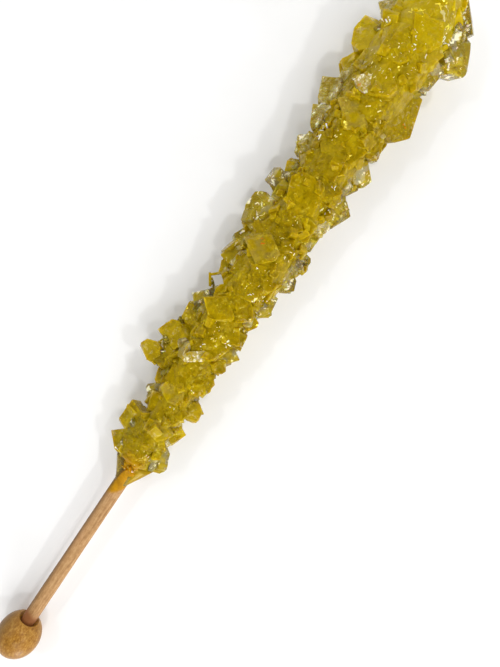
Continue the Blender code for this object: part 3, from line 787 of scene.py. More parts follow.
def outerness(point):
    """From 0 in the fused middle of the candy to 1 in the clear crystals at its sides and tip."""
    side = (side_share(point) - CLEAR_SIDE_START) / CLEAR_SIDE_FADE
    bearing = math.atan2(point.y, point.z)
    proud = math.hypot(point.y, point.z) / candy_reach(point.x, bearing) - 1.0
    proud /= CLEAR_PROUD_FADE
    tip = (point.x / MM - CLEAR_TIP_START - CLEAR_TIP_SLANT * point.y / MM) / CLEAR_TIP_FADE
    return min(1.0, max(0.0, side, proud, tip))


def sugar_core():
    """The lumpy heart of the candy, which closes the gaps between the crystals."""
    profile = [(FLARE_END - 1.0 * MM, 0.0), (FLARE_END - 0.8 * MM, STICK_RADIUS)]
    profile.append((FLARE_END + 0.6 * MM, FLARE_RADIUS - 0.5 * MM))
    for ring in range(1, HEART_RINGS + 1):
        station = FLARE_END + (CORE_END - FLARE_END) * ring / HEART_RINGS
        if station > FLARE_END + 1.0 * MM:
            profile.append((station, HEART_SHARE * candy_reach(station, 0.0)))
    profile.append((CORE_END + CORE_POINT, 0.0))
    shape = turned(profile, HEART_SIDES)
    for vertex in shape.verts:
        if FLARE_END + 1.0 * MM < vertex.co.x < CORE_END:
            bearing = math.atan2(vertex.co.y, vertex.co.z)
            radius = math.hypot(vertex.co.y, vertex.co.z)
            share = heart_reach(vertex.co.x, bearing) / radius
            share *= 1.0 + HEART_LUMPS * noise.noise(vertex.co * HEART_LUMP_SCALE)
            vertex.co.y *= share
            vertex.co.z *= share
    return shape


def combine(target, operation, other):
    step = target.modifiers.new(other.name, "BOOLEAN")
    step.operation = operation
    step.solver = "MANIFOLD"
    if isinstance(other, bpy.types.Collection):
        step.operand_type = "COLLECTION"
        step.collection = other
    else:
        step.object = other


def settle(made):
    bpy.context.view_layer.update()
    graph = bpy.context.evaluated_depsgraph_get()
    mesh = bpy.data.meshes.new_from_object(made.evaluated_get(graph))
    made.modifiers.clear()
    made.data = mesh
    return made


def table_block():
    shape = bmesh.new()
    bmesh.ops.create_cube(shape, size=1.0)
    bmesh.ops.scale(shape, vec=TABLE_SIZE, verts=shape.verts)
    shift(shape, (0.0, 0.0, -TABLE_SIZE[2] / 2))
    return placed_object("table", shape)


def large_crystals():
    """Every crystal of the solids, softened and with its finish."""
    rng = random.Random(SEED)
    large = [(shown_crystal(crystal, rng), crystal.finish) for crystal in SHOWN_CRYSTALS]
    for count in range(FILL_COUNT):
        large.append((fill_crystal(count, rng), FILL_FINISHES[count % len(FILL_FINISHES)]))
    large += [(foot_crystal(crystal, rng), "cloudy") for crystal in FOOT_CRYSTALS]
    rng = random.Random(TOP_SEED)
    large += [(top_crystal(crystal, rng), crystal.finish) for crystal in TOP_CRYSTALS]
    return [finished_crystal(shape, toned(finish, rng), LARGE_EDGES) for shape, finish in large]


def inside_box(shape):
    """Whether a shape made where the candy lies stays inside the solids' own box."""
    low, high = cad_bounds
    for vertex in shape.verts:
        for axis in range(3):
            if not low[axis] + BOX_ROOM < vertex.co[axis] < high[axis] - BOX_ROOM:
                return False
    return True


def small_crystals(mass):
    """The small crystals in the seams, on the heart and round the neck, and the growth steps."""
    rng = random.Random(SMALL_SEED)
    body = bmesh.new()
    body.from_mesh(mass)
    body.normal_update()
    layers = [body.faces.layers.float[name] for name in NOTES]
    seams = [edge for edge in body.edges
             if len(edge.link_faces) == 2 and edge.calc_face_angle_signed() < CONCAVE]
    lengths = [edge.calc_length() for edge in seams]
    frost = body.faces.layers.float["frost"]
    faces = [face for face in body.faces
             if face.calc_area() > STEP_LEAST_FACE and face[frost] < STEP_MOST_FROST]
    areas = [face.calc_area() for face in faces]
    shapes = []
    back = LYING.inverted()
    for edge in rng.choices(seams, lengths, k=SEAM_COUNT):
        look = small_finish(side_share(back @ edge.verts[0].co) > OUTER_SHARE, rng)
        shapes.append(finished_crystal(seam_crystal(edge, rng), look, SMALL_EDGES))
    for _ in range(CRUST_COUNT):
        shape, bearing = crust_crystal(rng)
        look = small_finish(abs(math.sin(bearing)) > OUTER_SHARE, rng)
        shapes.append(finished_crystal(shape, look, SMALL_EDGES))
    for _ in range(COLLAR_COUNT):
        look = toned("cloudy", rng)
        shapes.append(finished_crystal(collar_crystal(rng), look, SMALL_EDGES))
    for face in rng.choices(faces, areas, k=STEP_COUNT):
        look = [face[layer] for layer in layers]
        shift = rng.uniform(-STEP_TONE_SPREAD, STEP_TONE_SPREAD)
        look[0] = min(1.0, max(0.0, look[0] + shift))
        shapes.append(finished_crystal(growth_step(face, rng), look, SMALL_EDGES))
    body.free()
    return [shape for shape in shapes if inside_box(shape) and not on_bare_face(shape)]


def on_bare_face(shape):
    """Whether a small crystal lies on one of the faces that are kept bare."""
    middle = LYING.inverted() @ middle_of(shape)
    if middle.z < 0.0:
        return False
    for station, side, radius in BARE_FACES:
        if math.hypot(middle.x / MM - station, middle.y / MM - side) < radius:
            return True
    return False


def glint_crystals(mass):
    """Every cluster of glints, painted highlights set where a drop from above meets the mass."""
    rng = random.Random(GLINT_SEED)
    body = bmesh.new()
    body.from_mesh(mass)
    surface = BVHTree.FromBMesh(body)
    body.free()
    shapes = []
    for cluster in GLINTS:
        for _ in range(cluster.count):
            shape = glint(surface, cluster, rng)
            if shape is not None:
                look = finish_of(cluster.finish)
                shapes.append(finished_crystal(shape, look, GLINT_EDGES))
    return [shape for shape in shapes if inside_box(shape)]


def gap_cutter():
    """The upright prism that opens the gap between two crystals of the far side."""
    shape = leaning_block(GAP_SIDES[0] * MM, GAP_SIDES[1] * MM, CUTTER_HEIGHT)
    turn = Matrix.Rotation(GAP_HEADING, 4, "Z")
    place = Matrix.Translation((GAP_PLACE[0] * MM, GAP_PLACE[1] * MM, 0.0))
    move(shape, LYING @ place @ turn)
    return placed_object("gap", shape)


def arm_crystals():
    """The two slim arms that close the gap to the outside."""
    shapes = []
    for station, side, length, heading in ARMS:
        shape = leaning_block(length * MM, ARM_THICKNESS, ARM_THICKNESS)
        turn = Matrix.Rotation(math.radians(heading), 4, "Z")
        place = Matrix.Translation((station * MM, side * MM, ARM_HEIGHT))
        move(shape, LYING @ place @ turn)
        shapes.append(finished_crystal(shape, finish_of("cloudy", ARM_PALENESS), ARM_EDGES))
    return shapes


def joined(target, shapes, cut=None):
    """Grows a piece together with more shapes, and then cuts it with another object."""
    group = bpy.data.collections.new("group")
    for shape in shapes:
        mesh = bpy.data.meshes.new("crystal")
        shape.to_mesh(mesh)
        shape.free()
        group.objects.link(bpy.data.objects.new("crystal", mesh))
    bpy.context.scene.collection.children.link(group)
    combine(target, "UNION", group)
    if cut is not None:
        combine(target, "DIFFERENCE", cut)
    settle(target)
    for item in list(group.objects):
        bpy.data.objects.remove(item, do_unlink=True)
    bpy.data.collections.remove(group)


def build_crystals(material):
    """The fused mass of crystals, in one piece."""
    heart = finished_crystal(sugar_core(), finish_of("cloudy"), HEART_EDGES)
    crystals = laid_object("sugar_crystals", heart)
    shapes = large_crystals()
    for shape in shapes:
        move(shape, LYING)
    joined(crystals, shapes)
    table = table_block()
    joined(crystals, small_crystals(crystals.data), table)
    bpy.data.objects.remove(table, do_unlink=True)
    gap = gap_cutter()
    joined(crystals, glint_crystals(crystals.data), gap)
    bpy.data.objects.remove(gap, do_unlink=True)
    joined(crystals, arm_crystals())
    crystals.data.materials.clear()
    crystals.data.materials.append(material)
    outer = crystals.data.attributes.new("outer", "FLOAT", "POINT")
    back = LYING.inverted()
    for vertex, item in zip(crystals.data.vertices, outer.data):
        item.value = outerness(back @ vertex.co)
    crystals.data.shade_flat()
    return crystals


def cloudy_core(material):
    """The opaque sugar round the dowel, deep inside the crystals."""
    profile = [(FLARE_END, 0.0), (FLARE_END, CLOUDY_START_RADIUS)]
    for ring in range(1, CLOUDY_RINGS + 1):
        station = FLARE_END + (CORE_END + 1.0 * MM - FLARE_END) * ring / CLOUDY_RINGS
        flare = min(1.0, (station - FLARE_END) / CLOUDY_FLARE)
        widest = CLOUDY_SHARE * candy_reach(station, 0.0)
        profile.append((station, CLOUDY_START_RADIUS + flare * (widest - STICK_RADIUS)))
    profile.append((CORE_END + CORE_POINT, 0.0))
    return laid_object("cloudy_core", turned(profile, CLOUDY_SIDES), material)


def build_neck_film(material):
    """The thin film of sugar that spreads from the dowel to the first crystals like a flat web."""
    profile = [(station * MM, radius * MM) for station, radius in WEB_OUTER + WEB_INNER]
    shape = turned(profile, WEB_SIDES, ring=True)
    for vertex in shape.verts:
        share = min(1.0, (vertex.co.x - WEB_START) / WEB_SPREAD)
        wave = noise.noise(vertex.co.normalized() * WEB_WAVES) * WEB_WAVE * MM * share
        vertex.co += Vector((0.0, vertex.co.y, vertex.co.z)).normalized() * wave
        vertex.co.z *= 1.0 - WEB_FLATNESS * share
    made = laid_object("neck_film", shape, material)
    made.data.shade_smooth()
    return made


# ---------------------------------------------------------------- the wood

def build_dowel(material):
    """The birch dowel. Its sides are not quite true: they dip by a few hundredths of a millimetre."""
    inner = STICK_RADIUS - STICK_CHAMFER
    profile = [(STICK_START, 0.0), (STICK_START, inner)]
    first = STICK_START + STICK_CHAMFER
    last = STICK_END - STICK_CHAMFER
    for ring in range(DOWEL_RINGS + 1):
        profile.append((first + (last - first) * ring / DOWEL_RINGS, STICK_RADIUS))
    profile += [(STICK_END, inner), (STICK_END, 0.0)]
    shape = turned(profile, DOWEL_SIDES)
    along, across = DOWEL_DIP_SCALE
    for vertex in shape.verts:
        place = Vector((vertex.co.x * along, vertex.co.y * across, vertex.co.z * across))
        dip = DOWEL_DIP * (0.5 + 0.5 * noise.noise(place))
        vertex.co.y *= 1.0 - dip
        vertex.co.z *= 1.0 - dip
    made = laid_object("birch_dowel", shape, material)
    made.data.shade_smooth()
    made.data.set_sharp_from_angle(angle=DOWEL_SHARP)
    return made


def build_ball(material):
    """The turned ball, its countersunk bore for the dowel and the flat spot that it lies on."""
    bore_radius = STICK_RADIUS + BORE_ROOM
    radius = BALL_RADIUS - SANDING
    mouth = math.sqrt(radius**2 - MOUTH_RADIUS**2)
    first = math.atan2(MOUTH_RADIUS, mouth)
    profile = [(-radius, 0.0)]
    for ring in range(1, BALL_RINGS + 1):
        angle = math.pi + (first - math.pi) * ring / BALL_RINGS
        profile.append((radius * math.cos(angle), radius * math.sin(angle)))
    profile.append((mouth - MOUTH_LIP[0], MOUTH_RADIUS - MOUTH_LIP[1]))
    profile.append((mouth - MOUTH_DEPTH, bore_radius))
    profile.append((STICK_START - FIT_GAP, bore_radius))
    profile.append((STICK_START - FIT_GAP, 0.0))
    made = laid_object("turned_ball", turned(profile, BALL_SIDES), material)
    for vertex in made.data.vertices:
        vertex.co.z = max(0.0, vertex.co.z)
    made.data.shade_smooth()
    made.data.set_sharp_from_angle(angle=BALL_SHARP)
    return made


# ---------------------------------------------------------------- materials

class Recipe:
    """A material being put together: its nodes are added one at a time and linked as they come."""

    def __init__(self, name):
        self.material = bpy.data.materials.new(name)
        self.material.use_nodes = True
        self.tree = self.material.node_tree
        self.tree.nodes.clear()
        self.out = self.node("OutputMaterial")
        self.shader = self.node("BsdfPrincipled")
        self.link(self.shader.outputs["BSDF"], self.out.inputs["Surface"])

    def link(self, source, target):
        self.tree.links.new(source, target)

    def feed(self, value, socket):
        if isinstance(value, bpy.types.NodeSocket):
            self.link(value, socket)
        elif isinstance(value, tuple) and len(value) == 3 and socket.type == "RGBA":
            socket.default_value = (*value, 1.0)
        else:
            socket.default_value = value

    def feed_all(self, node, values):
        """Feeds a node's inputs by name, with an underscore for each space."""
        for name, value in values.items():
            self.feed(value, node.inputs[name.replace("_", " ")])

    def node(self, kind, **values):
        made = self.tree.nodes.new("ShaderNode" + kind)
        self.feed_all(made, values)
        return made

    def set(self, **values):
        self.feed_all(self.shader, values)

    def place(self, stretch=(1.0, 1.0, 1.0)):
        spot = self.node("TexCoord").outputs["Object"]
        return self.node("Mapping", Vector=spot, Scale=stretch).outputs["Vector"]

    def axis(self, name):
        return self.node("SeparateXYZ", Vector=self.place()).outputs[name]

    def noise(self, scale, detail=3.0, rough=0.5, stretch=(1.0, 1.0, 1.0), bend=0.0):
        made = self.node("TexNoise", Vector=self.place(stretch), Scale=scale, Detail=detail,
                         Roughness=rough, Distortion=bend)
        return made.outputs["Fac"]

    def cells(self, scale):
        """A grey of its own for each cell, as facets have inside a cloudy crystal."""
        made = self.node("TexVoronoi", Vector=self.place(), Scale=scale)
        return self.node("SeparateColor", Color=made.outputs["Color"]).outputs["Red"]

    def tilts(self, scale, slope):
        """The height of flat facets, each tilted its own way, that meet in sharp lines."""
        place = self.place()
        made = self.node("TexVoronoi", Vector=place, Scale=scale)
        away = self.vectors("SUBTRACT", place, made.outputs["Position"])
        lean = self.vectors("SUBTRACT", made.outputs["Color"], (0.5, 0.5, 0.5))
        return self.times(self.vectors("DOT_PRODUCT", away, lean), slope)

    def vectors(self, kind, first, second):
        made = self.node("VectorMath")
        made.operation = kind
        self.feed(first, made.inputs[0])
        self.feed(second, made.inputs[1])
        return made.outputs["Value" if kind == "DOT_PRODUCT" else "Vector"]

    def grey(self, value):
        return self.node("CombineColor", Red=value, Green=value, Blue=value).outputs["Color"]

    def note(self, name):
        made = self.node("Attribute")
        made.attribute_name = name
        return made.outputs["Fac"]

    def ramp(self, fac, stops):
        stops = list(stops)
        made = self.node("ValToRGB", Fac=fac)
        band = made.color_ramp
        while len(band.elements) < len(stops):
            band.elements.new(0.5)
        for element, (spot, colour) in zip(band.elements, stops):
            element.position = spot
            element.color = (*colour, 1.0)
        return made.outputs["Color"]

    def range(self, value, low, high, to_low=0.0, to_high=1.0):
        """A smooth run between two numbers as a value goes from low to high."""
        made = self.node("MapRange", Value=value, From_Min=low, From_Max=high, To_Min=to_low,
                         To_Max=to_high)
        made.interpolation_type = "SMOOTHSTEP"
        return made.outputs["Result"]

    def sum(self, kind, first, second, third=0.0, keep=False):
        """A sum of one kind, kept between 0 and 1 where asked."""
        made = self.node("Math")
        made.operation = kind
        made.use_clamp = keep
        for value, socket in zip((first, second, third), made.inputs):
            self.feed(value, socket)
        return made.outputs["Value"]

    def times(self, first, second, plus=0.0, keep=False):
        return self.sum("MULTIPLY_ADD", first, second, plus, keep)

    def mix(self, fac, first, second, kind="MIX"):
        made = self.node("Mix")
        made.data_type = "RGBA"
        made.blend_type = kind
        self.feed(fac, made.inputs["Factor"])
        self.feed(first, made.inputs[6])
        self.feed(second, made.inputs[7])
        return made.outputs[2]

    def bump(self, height, strength, distance):
        made = self.node("Bump", Height=height, Strength=strength, Distance=distance)
        self.link(made.outputs["Normal"], self.shader.inputs["Normal"])

    def absorb(self, colour, density):
        made = self.node("VolumeAbsorption", Color=colour, Density=density)
        self.link(made.outputs["Volume"], self.out.inputs["Volume"])


DEEP_MUSTARD = (0.235, 0.155, 0.0004)
MUSTARD = (0.385, 0.265, 0.0010)
PALE_MUSTARD = (0.480, 0.355, 0.006)
BRIGHT_YELLOW = (0.70, 0.52, 0.002)
YELLOW_GLASS = (0.78, 0.61, 0.02)
WHITE_GLASS = (0.90, 0.86, 0.68)
FROST = (0.47, 0.38, 0.15)
SMOKE = (0.33, 0.28, 0.17)
WORN = (0.50, 0.39, 0.060)
# The next white is both the frost's specks and the colour of painted highlights.
WHITE_FROST_AND_HIGHLIGHT = (0.92, 0.89, 0.70)
STAIN_GOLD = (0.50, 0.23, 0.001)
# The colours of painted glints.
LEMON = (0.88, 0.74, 0.05)
AMBER = (0.60, 0.14, 0.006)
HEART_COLOURS = ((0.42, 0.27, 0.0006), (0.68, 0.47, 0.002), (0.85, 0.64, 0.010))
FILM_COLOURS = ((0.32, 0.21, 0.002), (0.56, 0.43, 0.10), (0.74, 0.64, 0.30))
FILM_MUSTARD = (0.38, 0.235, 0.001)
BIRCH_COLOURS = ((0.29, 0.150, 0.055), (0.43, 0.240, 0.098), (0.53, 0.325, 0.150))
BIRCH_BLUSH = (0.50, 0.24, 0.115)
BIRCH_SIDE_SHADE = (0.13, 0.075, 0.030)
BIRCH_MOUTH_SHADE = (0.24, 0.090, 0.028)
SYRUP_COLOURS = ((0.36, 0.165, 0.0003), (0.55, 0.265, 0.0006))
SYRUP_SIDE_SHADE = (0.10, 0.055, 0.002)
GOLDEN_COLOURS = ((0.22, 0.087, 0.006), (0.36, 0.160, 0.018), (0.48, 0.255, 0.046))
GOLDEN_DARK = (0.24, 0.125, 0.018)
GOLDEN_PALE = (0.46, 0.27, 0.055)
GOLDEN_SHADE = (0.15, 0.078, 0.018)
GOLDEN_MOUTH = (0.42, 0.170, 0.055)
PAPER_COLOURS = ((0.90, 0.90, 0.895), (0.93, 0.93, 0.93))


def rock_sugar():
    """Cloudy mustard sugar, clearer at its outer ends, with each crystal's own notes on top."""
    sugar = Recipe("rock_sugar")
    outer = sugar.note("outer")
    clouds = sugar.noise(300.0, 5.0, 0.65, bend=0.6)
    base = sugar.ramp(clouds, [(0.30, DEEP_MUSTARD), (0.50, MUSTARD), (0.72, PALE_MUSTARD)])
    facets = sugar.cells(480.0)
    flakes = sugar.cells(1700.0)
    shade = sugar.times(facets, 0.22, 0.73)
    shade = sugar.times(flakes, 0.32, shade)
    base = sugar.mix(1.0, base, sugar.grey(shade), "MULTIPLY")
    tone = sugar.note("tone")
    tip = BALL_CENTRE.x + BRIGHT_TIP[0]
    tip = sugar.range(sugar.axis("X"), tip, tip + BRIGHT_TIP[1], 0.0, 0.55)
    bright = sugar.range(tone, 0.5, 0.95, 0.0, 0.35)
    bright = sugar.sum("ADD", bright, tip, keep=True)
    dark = sugar.range(tone, 0.5, 0.1, 0.0, 0.8)
    base = sugar.mix(bright, base, BRIGHT_YELLOW)
    base = sugar.mix(dark, base, DEEP_MUSTARD)
    points = sugar.range(sugar.noise(2300.0, 1.0, 0.5), 0.66, 0.72, 0.0, 0.6)
    base = sugar.mix(points, base, BRIGHT_YELLOW)

    specks = sugar.noise(1500.0, 2.0, 0.7)
    patches = sugar.noise(420.0, 2.0, 0.5)
    flecks = sugar.noise(620.0, 3.0, 0.65, bend=0.4)
    clear = sugar.times(outer, 0.46, 0.60)
    clear = sugar.times(clear, sugar.note("clarity"), keep=True)
    colourless = sugar.range(sugar.noise(420.0, 2.0, 0.5, bend=0.4), 0.48, 0.58)
    colourless = sugar.times(colourless, sugar.range(outer, 0.1, 0.5))
    # Painted light: the colourless glass is whiter towards -Y, the lit side, and yellower on the far
    # side.
    across = sugar.range(sugar.axis("Y"), *WHITER_LIT_SIDE, 0.40, 0.85)
    colourless = sugar.times(colourless, across)
    glass = sugar.mix(colourless, YELLOW_GLASS, WHITE_GLASS)
    base = sugar.mix(sugar.range(clear, 0.3, 0.8, 0.0, 1.0), base, glass)
    frosting = sugar.note("frost")
    frosted = sugar.ramp(specks, [(0.38, MUSTARD), (0.47, FROST), (0.54, FROST), (0.62, WHITE_FROST_AND_HIGHLIGHT)])
    base = sugar.mix(frosting, base, frosted)
    smoking = sugar.times(sugar.note("smoke"), sugar.range(patches, 0.38, 0.58))
    base = sugar.mix(smoking, base, SMOKE)
    worn = sugar.times(sugar.note("wear"), sugar.range(patches, 0.35, 0.7, 0.0, 0.16))
    base = sugar.mix(worn, base, WORN)
    outer = sugar.times(outer, sugar.range(clear, 0.1, 0.6, 0.15, 1.0))
    dimming = sugar.times(outer, sugar.range(flecks, 0.48, 0.38, 0.0, 0.95))
    base = sugar.mix(dimming, base, DEEP_MUSTARD)
    # White flecks on the outer crystals: partly frosted sugar, partly painted highlights.
    white_flecks_and_highlights = sugar.times(outer, sugar.range(flecks, 0.57, 0.64, 0.0, 0.9))
    base = sugar.mix(white_flecks_and_highlights, base, WHITE_FROST_AND_HIGHLIGHT)
    along = BALL_CENTRE.x + STAIN_END
    gilding = sugar.range(sugar.axis("X"), along, along - STAIN_FADE, 0.0, 0.85)
    beside = sugar.sum("ABSOLUTE", sugar.sum("SUBTRACT", sugar.axis("Y"), BALL_CENTRE.y), 0.0)
    gilding = sugar.times(gilding, sugar.range(beside, *STAIN_SIDES))
    base = sugar.mix(gilding, base, STAIN_GOLD)
    # Painted highlights: the glint crystals take amber, lemon or white.
    glint = sugar.note("glint")
    glints = sugar.ramp(sugar.times(glint, 1.0 / 3.0),
                        [(0.33, AMBER), (0.66, LEMON), (1.0, WHITE_FROST_AND_HIGHLIGHT)])
    glinting = sugar.range(glint, 0.2, 0.8)
    base = sugar.mix(glinting, base, glints)

    rough = sugar.times(clear, -0.07, 0.17)
    rough = sugar.times(frosting, 0.35, rough)
    rough = sugar.times(sugar.range(specks, 0.4, 0.7), -0.05, rough, keep=True)
    clear = sugar.times(frosting, -0.30, clear, keep=True)
    clear = sugar.times(dimming, -0.50, clear, keep=True)
    clear = sugar.times(white_flecks_and_highlights, -0.80, clear, keep=True)
    clear = sugar.times(glinting, -1.0, clear, keep=True)
    sugar.set(
        Base_Color=base, Roughness=rough, IOR=1.54, Transmission_Weight=clear,
        Specular_IOR_Level=0.30, Specular_Tint=(1.0, 0.88, 0.14),
        Subsurface_Weight=0.85, Subsurface_Scale=2.0 * MM, Subsurface_Radius=(1.0, 0.78, 0.18),
    )
    sparkle = sugar.range(sugar.noise(180.0, 2.0, 0.5), 0.46, 0.60, 0.15, 1.0)
    sparkle = sugar.times(sparkle, sugar.range(clear, 0.2, 0.8, 1.0, 0.15))
    relief = sugar.times(sugar.tilts(2100.0, 0.9), sparkle)
    grain = sugar.times(sugar.noise(900.0, 3.0, 0.6), 0.03 * MM, relief)
    sugar.bump(grain, 1.0, 1.0)
    sugar.absorb((0.97, 0.93, 0.06), 150.0)
    return sugar.material


def heart_sugar():
    """The sugar deep in the candy, packed so thick that it lets no light through."""
    sugar = Recipe("heart_sugar")
    facets = sugar.cells(520.0)
    clouds = sugar.times(facets, 0.35, sugar.noise(260.0, 4.0, 0.6))
    base = sugar.ramp(clouds, zip((0.40, 0.62, 0.85), HEART_COLOURS))
    sugar.set(Base_Color=base, Roughness=0.5, Specular_IOR_Level=0.2)
    sugar.bump(sugar.noise(700.0), 0.5, 0.3 * MM)
    return sugar.material


def film_sugar():
    """Thin clear sugar, tinted like weak tea, with mustard patches where it thickens."""
    sugar = Recipe("film_sugar")
    patches = sugar.noise(480.0, 3.0, 0.6)
    base = sugar.ramp(patches, zip((0.34, 0.50, 0.70), FILM_COLOURS))
    middle = BALL_CENTRE.y
    near_side = sugar.range(sugar.axis("Y"), middle - FILM_SIDE[0], middle - FILM_SIDE[1])
    base = sugar.mix(near_side, base, FILM_MUSTARD)
    clear = sugar.range(patches, 0.36, 0.52, 0.55, 0.95)
    clear = sugar.times(near_side, -0.75, clear, keep=True)
    sugar.set(Base_Color=base, Roughness=0.10, IOR=1.45, Transmission_Weight=clear,
              Specular_IOR_Level=0.25, Specular_Tint=(1.0, 0.9, 0.4))
    sugar.bump(sugar.noise(700.0), 0.4, 0.12 * MM)
    return sugar.material


def stained_birch():
    """Pale birch with fine grain, stained orange by the syrup, with painted brown shade along its far
    side and where it leaves the ball.
    """
    birch = Recipe("stained_birch")
    grain = birch.noise(1700.0, 3.0, 0.6, stretch=(0.05, 1.0, 1.0))
    flecks = birch.noise(1500.0, 3.0, 0.7, stretch=(0.6, 1.0, 1.0))
    shade = birch.times(flecks, 0.45, birch.times(grain, 0.55))
    base = birch.ramp(shade, zip((0.36, 0.5, 0.62), BIRCH_COLOURS))
    blush = birch.noise(160.0, 2.0, 0.5, stretch=(0.4, 1.0, 1.0))
    base = birch.mix(birch.range(blush, 0.45, 0.75, 0.0, 0.40), base, BIRCH_BLUSH)
    along = birch.axis("X")
    across = birch.axis("Y")
    middle = BALL_CENTRE.y
    # Painted shade: the far side of the dowel is darkened to brown in ragged flecks.
    far_side_shade = birch.range(across, middle + FAR_SIDE_SHADE_SPAN[0], middle + FAR_SIDE_SHADE_SPAN[1], 0.0, 0.95)
    far_side_shade = birch.times(far_side_shade, birch.range(flecks, 0.35, 0.60, 0.45, 1.0))
    base = birch.mix(far_side_shade, base, BIRCH_SIDE_SHADE)
    ragged = birch.noise(900.0, 3.0, 0.6, stretch=(0.35, 1.0, 1.0))
    start = BALL_CENTRE.x + STAIN_START
    edge = birch.times(across, STAIN_SLANT, along)
    edge = birch.times(ragged, STAIN_FRAY, edge)
    stain = birch.range(edge, start + STAIN_EDGE[0], start + STAIN_EDGE[1])
    syrup = birch.ramp(birch.noise(700.0, 3.0, 0.6), zip((0.35, 0.65), SYRUP_COLOURS))
    # Painted shade on the far side of the syrup stain.
    syrup = birch.mix(far_side_shade, syrup, SYRUP_SIDE_SHADE)
    base = birch.mix(stain, base, syrup)
    # Painted shade where the dowel goes into the ball's mouth, in reddish brown.
    mouth = BALL_CENTRE.x + BIRCH_SHADE
    edge = birch.times(across, -0.35, along)
    shade = birch.range(edge, mouth + BIRCH_SHADE_EDGE[0], mouth - BIRCH_SHADE_EDGE[1])
    base = birch.mix(shade, base, BIRCH_MOUTH_SHADE)
    birch.set(Base_Color=base, Roughness=0.6, Specular_IOR_Level=0.15)
    birch.bump(grain, 0.25, 0.05 * MM)
    return birch.material


def golden_wood():
    """Golden-brown varnished wood, mottled, with fine flecks. The mouth is a reddish brown."""
    wood = Recipe("golden_wood")
    grain = wood.noise(1500.0, 3.0, 0.65, stretch=(0.45, 1.0, 0.6))
    flecks = wood.noise(2400.0, 2.0, 0.7)
    shade = wood.times(flecks, 0.5, wood.times(grain, 0.5))
    base = wood.ramp(shade, zip((0.36, 0.5, 0.62), GOLDEN_COLOURS))
    mottle = wood.noise(260.0, 3.0, 0.55)
    base = wood.mix(wood.range(mottle, 0.42, 0.70, 0.0, 0.35), base, GOLDEN_DARK)
    base = wood.mix(wood.range(mottle, 0.46, 0.30, 0.0, 0.30), base, GOLDEN_PALE)
    across = wood.axis("Y")
    base = wood.mix(wood.range(across, *BALL_SHADE, 0.0, 0.85), base, GOLDEN_SHADE)
    along = wood.axis("X")
    centre = BALL_CENTRE.x
    edge = math.sqrt(BALL_RADIUS**2 - MOUTH_RADIUS**2)
    mouth = wood.range(along, centre + edge - 0.05 * MM, centre + edge + 0.05 * MM)
    base = wood.mix(mouth, base, GOLDEN_MOUTH)
    wood.set(Base_Color=base, Roughness=0.36, Specular_IOR_Level=0.25)
    wood.bump(shade, 0.12, 0.05 * MM)
    return wood.material


# ---------------------------------------------------------------- the sweet

crystals = build_crystals(rock_sugar())
core = cloudy_core(heart_sugar())
film = build_neck_film(film_sugar())
for piece in (crystals, core, film):
    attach(piece, "root")
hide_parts("candy")

dowel = build_dowel(stained_birch())
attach(dowel, "root")
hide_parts("stick")

ball = build_ball(golden_wood())
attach(ball, "root")
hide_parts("ball")


# ---------------------------------------------------------------- the studio

def build_floor():
    shape = bmesh.new()
    bmesh.ops.create_grid(shape, x_segments=1, y_segments=1, size=1.0)
    paper = Recipe("pale_paper")
    base = paper.ramp(paper.noise(40.0), zip((0.3, 0.7), PAPER_COLOURS))
    paper.set(Base_Color=base, Roughness=0.9, Specular_IOR_Level=0.0)
    made = placed_object("floor", shape, paper.material)
    made.location.z = -0.1 * MM


def area_light(name, place, target, size, power, colour=(1.0, 1.0, 1.0)):
    data = bpy.data.lights.new(name, "AREA")
    data.shape = "DISK"
    data.size = size
    data.energy = power
    data.color = colour
    made = bpy.data.objects.new(name, data)
    made.location = place
    made.rotation_euler = (Vector(target) - Vector(place)).to_track_quat("-Z", "Y").to_euler()
    bpy.context.scene.collection.objects.link(made)


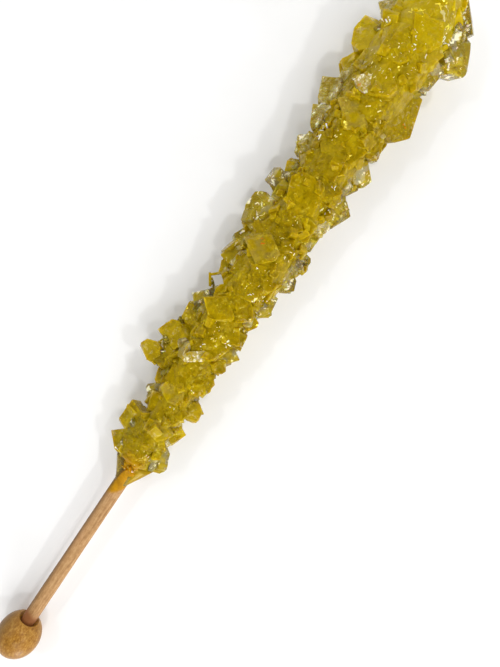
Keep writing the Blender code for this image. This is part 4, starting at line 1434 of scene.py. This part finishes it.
def build_world(sides, above):
    """A white studio that is bright round the sides and dim overhead."""
    world = bpy.data.worlds.new("studio")
    world.use_nodes = True
    tree = world.node_tree
    way = tree.nodes.new("ShaderNodeTexCoord")
    split = tree.nodes.new("ShaderNodeSeparateXYZ")
    tree.links.new(way.outputs["Generated"], split.inputs["Vector"])
    climb = tree.nodes.new("ShaderNodeMapRange")
    climb.interpolation_type = "SMOOTHSTEP"
    ends = {"From Min": 0.45, "From Max": 0.95, "To Min": sides, "To Max": above}
    for name, value in ends.items():
        climb.inputs[name].default_value = value
    tree.links.new(split.outputs["Z"], climb.inputs["Value"])
    back = tree.nodes["Background"]
    back.inputs["Color"].default_value = (1.0, 1.0, 1.0, 1.0)
    tree.links.new(climb.outputs["Result"], back.inputs["Strength"])
    bpy.context.scene.world = world


# The camera looks straight down at a point of the stick's frame, turned so that the stick leans.
CAMERA_FOOT = (85.7 * MM, -5.5 * MM, 0.0)
CAMERA_HEIGHT = 113.4 * MM
CAMERA_TURN = math.radians(-56.1)
CAMERA_LENS = 27.64


def build_camera():
    data = bpy.data.cameras.new("camera")
    data.sensor_fit = "AUTO"
    data.sensor_width = 36.0
    data.lens = CAMERA_LENS
    data.clip_start = 0.005
    made = bpy.data.objects.new("camera", data)
    foot = LYING @ Vector(CAMERA_FOOT)
    made.location = (foot.x, foot.y, foot.z + CAMERA_HEIGHT)
    made.rotation_euler = (0.0, 0.0, CAMERA_TURN)
    bpy.context.scene.collection.objects.link(made)
    bpy.context.scene.camera = made


build_floor()
build_world(1.0, 0.12)
build_camera()
area_light("key", (-0.20, -0.22, 0.34), (0.02, 0.0, 0.0), 0.25, 0.40, (1.0, 0.985, 0.96))
area_light("fill", (0.20, 0.26, 0.36), (0.0, 0.0, 0.0), 0.35, 0.25)
area_light("low_window", (-0.42, -0.28, 0.12), (-0.05, 0.0, 0.0), 0.22, 0.8)
area_light("sparkle_side", (0.02, -0.26, 0.30), (0.03, 0.0, 0.0), 0.026, 0.24)
area_light("sparkle_tip", (0.20, -0.10, 0.30), (0.06, 0.0, 0.0), 0.026, 0.20)
area_light("sparkle_back", (-0.05, 0.20, 0.34), (0.03, 0.0, 0.0), 0.022, 0.12)
area_light("sparkle_heel", (-0.16, -0.08, 0.32), (-0.02, 0.0, 0.0), 0.022, 0.14)
bpy.context.scene.view_settings.view_transform = "Standard"
